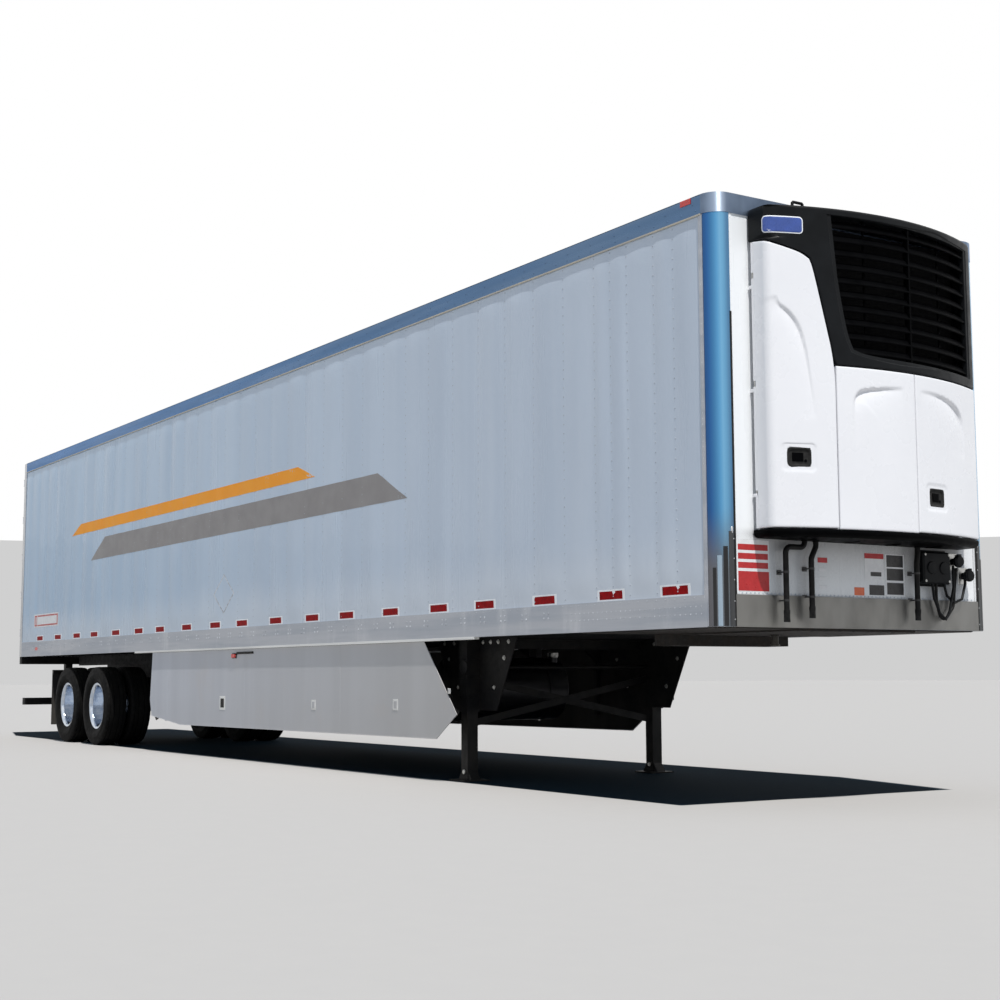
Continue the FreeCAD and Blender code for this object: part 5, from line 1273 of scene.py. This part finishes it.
def make_running_gear():
    """Bellows, dampers, brake chambers, pipes, U-bolts, pivot bolts and the air tank."""
    gear = Shape(BOTH)
    bogie_base = 0.880
    arm_y, arm_top = 0.432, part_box("air_springs")[0].z
    chamber_y = arm_y - 0.200
    room = bogie_base - 0.010 - arm_top
    for pair in ("front", "rear"):
        axle_x = sum(corner.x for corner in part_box(f"tyres_{pair}_left")) / 2
        gear.sides = BOTH
        gear.lathe([(0.0, 0.080), (0.050, 0.078), (0.060, 0.086), (0.072, 0.116), (0.086, 0.1245),
                    (room * 0.55, 0.1215), (room - 0.030, 0.1245), (room - 0.014, 0.118), (room - 0.004, 0.096),
                    (room, 0.094)], (axle_x - 0.310, arm_y, arm_top), Z, 40, 1)
        legs, arms = (axle_x - 0.055, axle_x + 0.055), (arm_y - 0.062, arm_y + 0.062)
        for x in legs:
            gear.tube([(x, arm_y + aside, AXLE_Z + up) for aside, up in (
                (-0.062, 0.18), (-0.062, -0.062), (-0.035, -0.088), (0.035, -0.088), (0.062, -0.062), (0.062, 0.18))],
                      0.0095, 10)
        gear.bolt((legs, arms, AXLE_Z + 0.166), Z, 0.014, 0.016, 2)
        gear.block((axle_x - 0.085, arm_y - 0.075, AXLE_Z + 0.1645), (axle_x + 0.085, arm_y + 0.075, AXLE_Z + 0.176),
                   0.003)
        for way in (-1, 1):
            gear.lathe([(0, 0.034), (0.004, 0.034), (0.005, 0.024), (0.020, 0.024), (0.021, 0.020)],
                       (axle_x + 0.520, arm_y + 0.066 * way, AXLE_Z + 0.115), Y * way, 20, 2)
        bottom = Vector((axle_x + 0.20, arm_y - 0.085, AXLE_Z + 0.14))
        crown = Vector((axle_x + 0.36, arm_y - 0.085, bogie_base - 0.02))
        middle = bottom.lerp(crown, 0.5)
        gear.rod(bottom, middle, 0.026, 16, 0.004)
        gear.rod(middle, crown, 0.032, 16, 0.004)
        start = axle_x + 0.190
        gear.lathe([(0.0, 0.050), (0.012, 0.078), (0.070, 0.0795), (0.076, 0.0865), (0.092, 0.0865), (0.098, 0.0795),
                    (0.150, 0.0795), (0.164, 0.070), (0.170, 0.030)], (start, chamber_y, AXLE_Z), X, 28)
        gear.tube([(start + 0.12, chamber_y, AXLE_Z + 0.078), (start + 0.12, chamber_y, AXLE_Z + 0.15),
                   (start + 0.08, chamber_y + 0.03, AXLE_Z + 0.26), (start + 0.02, chamber_y + 0.05, bogie_base - 0.03),
                   (start - 0.06, chamber_y + 0.06, bogie_base + 0.01)], 0.009, 8, 1)
        gear.rod((axle_x + 0.11, chamber_y + 0.05, AXLE_Z - 0.02), (axle_x + 0.11, 0.70, AXLE_Z - 0.02), 0.019, 14,
                 0.002)
        gear.plate([(axle_x + 0.085, AXLE_Z - 0.045), (axle_x + 0.135, AXLE_Z - 0.045), (axle_x + 0.125, AXLE_Z + 0.10),
                    (axle_x + 0.095, AXLE_Z + 0.10)], chamber_y + 0.035, chamber_y + 0.049, 0.003)
        gear.sides = MIDDLE
        for y in (chamber_y, -chamber_y):
            for a, b in round_loop(3, math.radians(60)):
                gear.bolt((start + 0.076, y + 0.094 * a, AXLE_Z + 0.094 * b), -X, 0.006, 0.006, 2)
    tank_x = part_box("bogie_frame")[1].x - 0.62
    gear.lathe([(0, 0.06), (0.02, 0.105), (0.05, 0.118), (0.55, 0.118), (0.58, 0.105), (0.60, 0.06)],
               (tank_x, -0.30, bogie_base + 0.135), Y, 32)
    gear.lathe([(0, 0.1185), (0.030, 0.1185)], (tank_x, (-0.20, 0.16), bogie_base + 0.135), Y, 32, 2)
    for y, z in ((0.16, 1.165), (0.19, 1.165), (-0.16, 1.165)):
        gear.tube([(leg_x - 0.6, y, z), (leg_x - 4.0, y + 0.02, z - 0.01), (leg_x - 8.0, y, z), (tank_x, y, z)], 0.011,
                  8, 1)
    gear.done("running_gear_trim", "frame_black hose zinc")


def make_undercarriage_trim():
    """Bolts on the wing plates, coupler, slide rails and mud flaps, and the gearbox of the landing legs."""
    trim = Shape(BOTH)
    flange, leg_y, leg_half = deck + 0.010, 0.985, 0.0635
    face, outer, gear_z = leg_y - leg_half, leg_y + leg_half, flange - 0.25
    for shifts, drop in (((0.52, 0.36, 0.24, 0.12), 0.040), ((0.45,), 0.175), ((0.29,), 0.42)):
        places = [leg_x + shift * way for shift in shifts for way in (-1, 1)]
        for way, y in ((-1, face - 0.010), (1, face)):
            trim.bolt((places, y, flange - drop), Y * way, 0.013, 0.012, 1)
    trim.block((leg_x - 0.066, outer - 0.13, 0), (leg_x + 0.066, outer + 0.003, 0.012), 0.002, 0,
               (0, 0, (0.70, 0.86, 1.02)))
    for y in (leg_y - 0.055, leg_y + 0.055):
        trim.rod((leg_x, y - 0.006, 0.075), (leg_x, y + 0.006, 0.075), 0.020, 16, 0.002, 1)
    tail_end, front = (corner.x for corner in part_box("slide_rails"))
    web = 0.510
    trim.lathe([(0, 0.017), (0.0012, 0.017), (0.0014, 0.004)],
               (spaced(tail_end + 0.15, front - 0.15, 0.152), web + 0.0002, 1.115), Y, 16, 2)
    trim.bolt((spaced(tail_end + 0.1, front - 0.1, 0.305), web + 0.030, deck), -Z, 0.010, 0.010)
    for side, y in ((1, outer + 0.080), (-1, outer)):
        trim.sides = (side,)
        trim.lathe([(0, 0.060), (0.010, 0.060), (0.016, 0.045), (0.018, 0.012)], (leg_x + 0.02, y, gear_z), Y, 28)
    trim.sides = MIDDLE
    trim.bolt(((leg_x - 0.055, leg_x + 0.055), outer + 0.080, (gear_z - 0.07, gear_z + 0.04)), Y, 0.008, 0.008, 1)
    back, fore = nose - 1.640, nose - 0.060
    for xs, ys in (((back + 0.31, fore - 0.05), spaced(-0.52, 0.52, 0.13)),
                   (spaced(back + 0.44, fore - 0.18, 0.13), (-0.52, 0.52))):
        trim.lathe([(0, 0.014), (0.0012, 0.013), (0.0014, 0.003)], (xs, ys, coupler_base), -Z, 12)
    trim.sides = BOTH
    low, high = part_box("mud_flaps")
    inner, outer = skirt_out - 0.630, skirt_out - 0.020
    trim.bolt((low.x, spaced(inner + 0.05, outer - 0.05, 0.125), high.z - 0.045), -X, 0.009, 0.008, 1)
    trim.block((low.x - 0.004, inner + 0.01, high.z - 0.075), (low.x, outer - 0.01, high.z - 0.015), 0.001, 1)
    trim.block((low.x - 0.003, -0.004, low.z + 0.04), (low.x + 0.001, 0.004, high.z - 0.12), 0.0015, 3,
               (0, spaced(inner + 0.04, outer - 0.04, 0.066), 0))
    trim.block((low.x - 0.006, inner + 0.02, low.z + 0.006), (low.x, outer - 0.02, low.z + 0.030), 0.002, 3)
    trim.done("undercarriage_trim", "frame_black zinc hole_black flap")


def make_skirt_trim():
    """Skirt seams, fasteners, small plates, a lamp holder, a stiffened lower edge, and sheets of painted shade on the
    inner faces.
    """
    trim = Shape()
    low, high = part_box("side_skirts")
    tail, base, crown = low.x, low.z, high.z
    face, inner = skirt_out, skirt_out - 0.006
    right_front = 3.390
    for side, front in ((1, 4.000), (-1, right_front)):
        trim.sides = (side,)
        tip = nose - front
        # painted shade: a near-black sheet over each skirt's inner face
        trim.plate([(tail + 0.06, crown - 0.02), (tail + 0.005, crown - 0.560), (tail + 0.062, base + 0.095),
                    (tail + 1.0, base + 0.006), (tip - 0.330, base + 0.026), (tip - 0.006, base + 0.228),
                    (tip - 0.554, crown - 0.02)], inner - 0.0008, inner + 0.0004, 0.0002, 1)
        for x in (nose - 5.55, nose - 7.80, nose - 10.05):
            trim.block((x - 0.030, face - 0.0010, base + 0.035), (x + 0.030, face + 0.0010, crown - 0.005), 0.0008)
            trim.rivet(((x - 0.020, x + 0.020), face, spaced(base + 0.09, crown - 0.06, 0.16)), Y, 0.006, 0.0025, 8)
        for back, z, wide, tall, mark in ((3.51, 0.755, 0.020, 0.022, 0), (4.44, 0.630, 0.046, 0.048, 0),
                                          (6.09, 0.607, 0.046, 0.048, 0), (8.354, 0.598, 0.075, 0.074, 3)):
            x = nose - back - (front - right_front)
            trim.block((x - wide, face - 0.001, z - tall), (x + wide, face + 0.003, z + tall), 0.001, 4)
            trim.block((x - wide * 0.62, face, z - tall * 0.66), (x + wide * 0.62, face + 0.0045, z + tall * 0.66),
                       0.001, mark)
            trim.rivet(((x - wide * 0.8, x + wide * 0.8), face + 0.0025, (z - tall * 0.82, z + tall * 0.82)), Y, 0.0065,
                       0.003, 8, 2)
        trim.rivet((spaced(tail + 0.15, tip - 0.70, 0.42), face, crown - 0.030), Y, 0.006, 0.0025, 8)
        trim.tube([(tail + 0.075, face - 0.003, base + 0.088), (tail + 1.0, face - 0.003, base + 0.004),
                   (tip - 0.330, face - 0.003, base + 0.022)], 0.0042, 8)
    trim.sides = BOTH
    x = nose - 8.04
    trim.block((x - 0.060, face - 0.001, deck - 0.115), (x + 0.060, face + 0.006, deck - 0.060), 0.002, 3)
    trim.block((x + 0.070, face - 0.002, deck - 0.072), (x + 0.50, face + 0.010, deck - 0.048), 0.002, 3)
    trim.bolt(((x - 0.05175, x + 0.05175), face + 0.006, deck - 0.088), Y, 0.004, 0.003, 2)
    trim.tube([(x + 0.06, face + 0.004, deck - 0.080), (x + 0.10, face + 0.004, deck - 0.062),
               (x + 0.20, face + 0.004, deck - 0.052)], 0.004, 8, 3)
    for k in range(3):
        trim.rivet((tail + 0.09 + 0.03 * k, face, base + 0.35 + 0.12 * k), Y, 0.006, 0.0025, 8, 2)
    trim.tube([(tail + 0.10, inner - 0.030, base + 0.20), (tail + 0.02, inner - 0.035, base + 0.15),
               (tail + 0.14, inner - 0.030, base + 0.045), (tail + 0.26, inner - 0.02, base + 0.075)], 0.011, 10, 3)
    trim.done("skirt_trim", "skirt skirt_back zinc frame_black lip_white")


def make_tank_trim():
    """End seams and domes, strap bolts, the filler cap and the fuel line of the tank."""
    trim = Shape(BOTH)
    x, z, radius = nose - 4.700, 0.760, 0.290
    end = 0.575
    trim.lathe([(0, radius + 0.0035), (0.012, radius + 0.0035), (0.016, radius)], (x, end - 0.016, z), Y, 48)
    trim.lathe([(0, radius - 0.004), (0.006, radius - 0.03), (0.012, 0.12), (0.013, 0.01)], (x, end, z), Y, 48)
    trim.bolt((x + 0.055, 0.395, z - 0.285), (0.2, 0, -1), 0.010, 0.018, 1)
    trim.sides = MIDDLE
    trim.lathe([(-0.02, 0.045), (0.0, 0.052), (0.024, 0.052), (0.030, 0.046), (0.031, 0.010)],
               (x + 0.12, 0.515, z + radius + 0.02), Z, 20, 1)
    trim.tube([(x - 0.1, 0.20, z + radius - 0.004), (x - 0.1, 0.20, z + radius + 0.04), (x + 0.1, 0.20, deck - 0.04),
               (leg_x - 0.5, 0.16, deck - 0.035)], 0.008, 8, 2)
    trim.done("fuel_tank_trim", "tank zinc hose")


# ---------------------------------------------------------------- rear end

TAPE_FILM = 0.0012
# the middles of the rear doors' hinges
HINGE_LEVELS = [rail_top + 0.150 + (rail_base - rail_top - 0.300) * k / 4 for k in range(5)]


def make_rear_trim():
    """Rivets, hinge bolts, bumpers, lamp bezels, a blank plate and reflective tape on the frame and the guard."""
    trim = Shape(BOTH)
    trim.rivet((rear, half - 0.095, spaced(rail_top + 0.03, rail_base - 0.03, 0.10)), -X, 0.005, 0.002)
    trim.bolt((rear, half - 0.045, [level + way for level in HINGE_LEVELS for way in (-0.045, 0.045)]), -X, 0.009,
              0.007, 1)
    trim.block((rear - 0.040, 0.990, deck + 0.030), (rear, 1.150, deck + 0.150), 0.010, 2)
    trim.bolt((rear - 0.038, 1.07, (deck + 0.06, deck + 0.12)), -X, 0.010, 0.006, 1)
    for y, foot, head in ((0.30, 0.060, 0.012), (0.058, 0.30, 0.064)):
        trim.block((rear - TAPE_FILM, half - 0.012, top - foot), (rear, half - y, top - head), 0.0004, 4)
    trim.lathe([(0, 0.0605), (0.010, 0.0605), (0.014, 0.056), (0.014, 0.050)],
               (rear, (0.780, 0.920, 1.060), deck + 0.062), -X, 28, 2)
    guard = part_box("underride_guard")[0].x
    trim.bolt((guard, (0.535, 0.607), (deck - 0.034, deck - 0.084)), -X, 0.010, 0.008, 1)
    trim.block((guard - 0.0006, half - 0.002, deck - 0.100), (guard + 0.030, half - 0.060, deck - 0.010), 0.002, 5)
    trim.sides = MIDDLE
    for x, foot, pieces in (
            (rear, deck + 0.166, ((-1.16, -0.86, 3), (-0.84, -0.54, 4), (-0.16, 0.14, 3), (0.16, 0.46, 4),
                                  (0.56, 0.86, 3))),
            (guard, 0.506, ((-1.20, -0.92, 3), (-0.90, -0.62, 4), (-0.60, -0.32, 3), (-0.30, -0.02, 4), (0.0, 0.28, 3),
                            (0.30, 0.58, 4), (0.60, 0.88, 3), (0.90, 1.20, 4)))):
        for low, high, mark in pieces:
            trim.block((x - TAPE_FILM, low, foot), (x, high, foot + 0.050), 0.0004, mark)
    trim.block((rear - 0.006, -0.056, top - 0.072), (rear, 0.056, top - 0.024), 0.003, 2, (0, (-0.160, 0.0, 0.160), 0))
    trim.block((guard - TAPE_FILM, -0.14, deck - 0.098), (guard, 0.16, deck - 0.012), 0.0004, 5)
    trim.bolt((guard, (-0.13, 0.15), deck - 0.055), -X, 0.005, 0.004, 1)
    trim.done("rear_trim", "stainless zinc hose red_tape white_tape plate_white")


def make_rear_doors():
    """Seals, panel edges, strap bolts, tape and kick plates of the leaves, and fittings of their lock rods."""
    low, high = deck + 0.227 + 0.009, top - 0.140 - 0.009
    inner, outer = 0.0045, half - 0.110 - 0.009
    face, inside = leaf_back, leaf_back + 0.080
    for name, side in SIDES:
        leaf = Shape((side,))
        for x0, x1, near, far, ends, edge, mark in (
                (face - 0.003, face + 0.012, 0, 0.016, 0, 0.0015, 0),
                (face - 0.0015, face + 0.01, 0.016, 0.050, 0.050, 0.001, 1),
                (inside - 0.002, inside + 0.004, 0.002, 0.020, 0.020, 0.0015, 0)):
            for y0, y1, z0, z1 in ((inner + near, inner + far, low + near, high - near),
                                   (outer - far, outer - near, low + near, high - near),
                                   (inner + ends, outer - ends, low + near, low + far),
                                   (inner + ends, outer - ends, high - far, high - near)):
                leaf.block((x0, y0, z0), (x1, y1, z1), edge, mark)
        for ys, zs in (((inner + 0.033, outer - 0.033), spaced(low + 0.05, high - 0.05, 0.10)),
                       (spaced(inner + 0.09, outer - 0.09, 0.10), (low + 0.033, high - 0.033))):
            leaf.rivet((face - 0.0015, ys, zs), -X, 0.005, 0.002, 6, 1)
        leaf.bolt((face - 0.008, [outer - back for back in (0.235, 0.165, 0.095, 0.030)],
                   [level + way for level in HINGE_LEVELS for way in (-0.018, 0.018)]), -X, 0.008, 0.007, 2)
        for start, mark in ((0.05, 3), (0.34, 4), (0.63, 3)):
            leaf.block((face - 0.0025, start, low + 0.10), (face, start + 0.28, low + 0.15), 0.0004, mark)
        leaf.block((inside - 0.001, inner + 0.03, low + 0.03), (inside + 0.0015, outer - 0.03, low + 0.42), 0.0006, 1)
        leaf.done(f"leaf_trim_{name}", "hose stainless zinc red_tape white_tape", None,
                  f"rear_door_{name}")

        locks = Shape((side,))
        rod_x = face - 0.022
        for share, hub_share in ((0.28, 0.22), (0.76, 0.27)):
            y, hub = outer - (outer - inner) * share, low + (high - low) * hub_share
            locks.bolt((rod_x - 0.006, (y - 0.026, y + 0.026),
                        [low + (high - low) * part for part in (0.06, 0.36, 0.64, 0.94)]), -X, 0.006, 0.005)
            locks.lathe([(-0.030, 0.0185), (-0.026, 0.0195), (0.026, 0.0195), (0.030, 0.0185)], (rod_x, y, hub), Z, 20)
            locks.rod((rod_x - 0.010, y, hub), (rod_x - 0.0195, y, hub), 0.008, 12, 0.001)
        locks.done(f"lock_trim_{name}", "zinc hose", None, f"rear_door_{name}")


# ---------------------------------------------------------------- roof and inside

def make_roof_trim():
    """Seams and rivets of the roof skin, and its bows showing through."""
    trim = Shape()
    edge = half - 0.113
    for x in spaced(body_rear + 0.61, nose - 0.75, 0.61):
        rows = []
        for y in spaced(-edge, edge, 0.3):
            crown = 0.0022 * (1 - (y / edge) ** 2)
            rows.append([(x + ahead, y, roof_top + up) for ahead, up in (
                (-0.035, -0.001), (-0.020, 0.0008 + crown * 0.5), (0, 0.0012 + crown), (0.020, 0.0008 + crown * 0.5),
                (0.035, -0.001), (0, -0.002))])
        trim.rings(rows)
    trim.rivet(((body_rear + 0.04, nose - 0.17), spaced(-edge + 0.05, edge - 0.05, 0.076), roof_top), Z, 0.005, 0.002)
    trim.sides = BOTH
    trim.rivet((spaced(body_rear + 0.06, nose - 0.22, 0.076), half - 0.118, roof_top), Z, 0.005, 0.002)
    trim.block((body_rear + 0.02, half - 0.108, roof_top - 0.001), (corner_x - 0.01, half - 0.124, roof_top + 0.0035),
               0.001, 2)
    trim.done("roof_trim", "roof top_rail lip")


def make_load_space():
    """Duct floor ribs, kick plates, joints of the wall liners, ceiling bows, lamps and the front bulkhead."""
    inside = Shape()
    start, end = body_rear + 0.06, front_in - 0.16
    section = ((-0.014, 0.024), (-0.012, 0.027), (0.012, 0.027), (0.014, 0.024), (0.003, 0.022), (0.003, -0.001),
               (-0.003, -0.001), (-0.003, 0.022))
    for y in spaced(-wall_in + 0.06, wall_in - 0.06, 0.055):
        inside.rings([[(x, y + aside, floor_top + up) for aside, up in section] for x in (start, end)])
    inside.sides = BOTH
    for deep, foot, head, edge, mark in ((0.003, floor_top, floor_top + 0.42, 0.001, 0),
                                         (0.006, floor_top + 0.40, floor_top + 0.425, 0.002, 0),
                                         (0.030, roof_base - 0.030, roof_base, 0.008, 1)):
        inside.block((start, wall_in - deep, foot), (end, wall_in + 0.001, head), edge, mark)
    inside.block((-0.020, wall_in - 0.0035, floor_top + 0.425), (0.020, wall_in + 0.001, roof_base - 0.02), 0.001, 1,
                 (spaced(start + 1.2, end - 0.3, 1.22), 0, 0))
    inside.sides = MIDDLE
    inside.block((-0.020, -wall_in + 0.03, roof_base - 0.0035), (0.020, wall_in - 0.03, roof_base + 0.001), 0.001, 1,
                 (spaced(start + 0.6, end - 0.6, 1.22), 0, 0))
    inside.lathe([(0, 0.075), (0.012, 0.075), (0.022, 0.060), (0.025, 0.012)],
                 ((start + 2.0, start + 6.5, start + 11.0), 0, roof_base), -Z, 28, 2)
    inside.block((front_in - 0.012, -wall_in + 0.04, floor_top + 0.03),
                 (front_in + 0.001, wall_in - 0.04, floor_top + 0.60), 0.004)
    inside.block((front_in - 0.045, -0.020, floor_top + 0.03), (front_in - 0.010, 0.020, 2.90), 0.004, 1,
                 (0, spaced(-1.05, 1.05, 0.15), 0))
    inside.done("load_space_trim", "floor_metal liner_white plate_white")


def make_lamp_trim():
    """Bezels round the marker lamps."""
    trim = Shape(BOTH)
    for x, z in ((nose - 0.290, top - 0.022), (rear + 0.854, deck + 0.107)):
        trim.block((x - 0.004, half - 0.001, z - 0.0215), (x + 0.004, half - 0.0002, z + 0.0215), 0.0002, 0,
                   ((-0.060, 0.060), 0, 0))
    trim.done("lamp_trim", "hose")


# ---------------------------------------------------------------- stage, light and camera

GREY = 0.63
SUN_HEIGHT, SUN_SWING = math.radians(61), math.radians(14)
BACKDROP_RISE = 0.0826          # sine of the backdrop's height above the horizon
REACH = 200.0                   # half the floor's width


def make_floor():
    """A pale grey floor, 400 m across, deeper in tone where the trailer keeps the key light off it."""
    mesh = bpy.data.meshes.new("ground")
    mesh.from_pydata([(-REACH, -REACH, 0), (REACH, -REACH, 0), (REACH, REACH, 0), (-REACH, REACH, 0)], [],
                     [(0, 1, 2, 3)])
    ground = linked("ground", mesh)
    made = surface("ground", (0.500, 0.481, 0.462), (0.496, 0.477, 0.459), 0.9, specular=0.1, spread=0.02)
    tree = made.node_tree
    shader = tree.nodes["Principled BSDF"].inputs
    ahead, across_floor, _ = axes(tree)
    base = shader["Base Color"].links[0].from_socket
    along_sun, across_sun = math.cos(SUN_SWING), math.sin(SUN_SWING)
    fall = deck / math.tan(SUN_HEIGHT)
    stretch = top / math.tan(SUN_HEIGHT) - fall
    near, far = fall * across_sun - half, fall * across_sun + half
    front, back = nose - fall * along_sun, body_rear - fall * along_sun

    def drift(corner):
        """The distance from a shadow edge that slants behind a corner of the body, as far as its top reaches."""
        behind = maths(tree, "MAXIMUM", maths(tree, "SUBTRACT", corner, ahead), 0.0)
        behind = maths(tree, "MINIMUM", behind, stretch * along_sun)
        return maths(tree, "SUBTRACT", across_floor, maths(tree, "MULTIPLY", behind, across_sun / along_sun))

    end = back - stretch * along_sun
    # painted shadow: the floor turns dark blue, with less specular, where the trailer's shadow falls
    deep = maths(tree, "MULTIPLY", ramp(tree, drift(back), near - 0.045, near - 0.01),
                 ramp(tree, drift(front), far + 0.01, far + 0.07, 1.0, 0.0))
    deep = maths(tree, "MULTIPLY", deep, ramp(tree, ahead, front + 0.01, front + 0.055, 1.0, 0.0))
    deep = maths(tree, "MULTIPLY", deep, ramp(tree, ahead, end - 0.07, end - 0.01))
    plug(tree, shader["Base Color"], mixed(tree, deep, base, (0.004, 0.013, 0.022)))
    plug(tree, shader["Specular IOR Level"], ramp(tree, deep, 0.0, 1.0, 0.1, 0.02))
    mesh.materials.append(made)


def make_world():
    """Soft sky light; the camera and reflections see white above a pale grey band."""
    world = bpy.data.worlds.new("studio")
    bpy.context.scene.world = world
    world.use_nodes = True
    tree = world.node_tree
    tree.nodes.clear()
    rays = node(tree, "LightPath").outputs
    split = node(tree, "SeparateXYZ", Vector=node(tree, "TexCoord").outputs["Generated"])
    above = maths(tree, "GREATER_THAN", split.outputs[2], BACKDROP_RISE)
    seen = mixed(tree, above, (GREY, GREY, GREY), (1.0, 1.0, 1.0))
    mirrored = maths(tree, "MAXIMUM", rays["Is Glossy Ray"], rays["Is Transmission Ray"])
    shown = maths(tree, "MAXIMUM", rays["Is Camera Ray"], mirrored)
    light = node(tree, "Background", Color=(0.62, 0.79, 1.0), Strength=0.40)
    backdrop = node(tree, "Background", Color=seen)
    both = node(tree, "MixShader", Fac=shown)
    plug(tree, both.inputs[1], light.outputs[0])
    plug(tree, both.inputs[2], backdrop.outputs[0])
    node(tree, "OutputWorld", Surface=both.outputs[0])


def make_lamp():
    """The key light: high, from the front and a little to the kerb side."""
    data = bpy.data.lights.new("key", "SUN")
    data.energy = 3.7
    data.angle = math.radians(0.9)
    data.color = (1.0, 0.98, 0.95)
    lamp = linked("key", data)
    towards = Vector((math.cos(SUN_HEIGHT) * math.cos(SUN_SWING), -math.cos(SUN_HEIGHT) * math.sin(SUN_SWING),
                      math.sin(SUN_HEIGHT)))
    lamp.rotation_mode = "QUATERNION"
    lamp.rotation_quaternion = towards.to_track_quat("Z", "Y")


def make_camera():
    data = bpy.data.cameras.new("camera")
    data.lens = 56.99
    data.sensor_width = 36.0
    data.clip_end = 2000.0
    camera = linked("camera", data)
    camera.location = (nose + 7.9275, -8.0412, 0.8744)
    yaw, pitch, roll = 0.5669, 0.1110, 0.0036
    ahead = Vector((-math.cos(yaw) * math.cos(pitch), math.sin(yaw) * math.cos(pitch), math.sin(pitch)))
    camera.rotation_mode = "QUATERNION"
    turned = ahead.to_track_quat("-Z", "Y")
    turned.rotate(Quaternion(ahead, roll))
    camera.rotation_quaternion = turned
    bpy.context.scene.camera = camera


bpy.context.scene.view_settings.view_transform = "Standard"
make_camera()
for make in (make_skin, make_tape, make_stripes, make_signs):
    for name, side in SIDES:
        make(name, side)
for make in (make_rail_trim, make_post_trim, make_nose_trim, make_nose_fittings, make_hose_fittings,
             make_unit_doors, make_centre_panel, make_shroud, make_louvres, make_tray, make_engine, make_wheel_sets,
             make_running_gear, make_undercarriage_trim, make_skirt_trim, make_tank_trim, make_rear_trim,
             make_rear_doors, make_roof_trim, make_load_space, make_lamp_trim, make_floor, make_world, make_lamp):
    make()
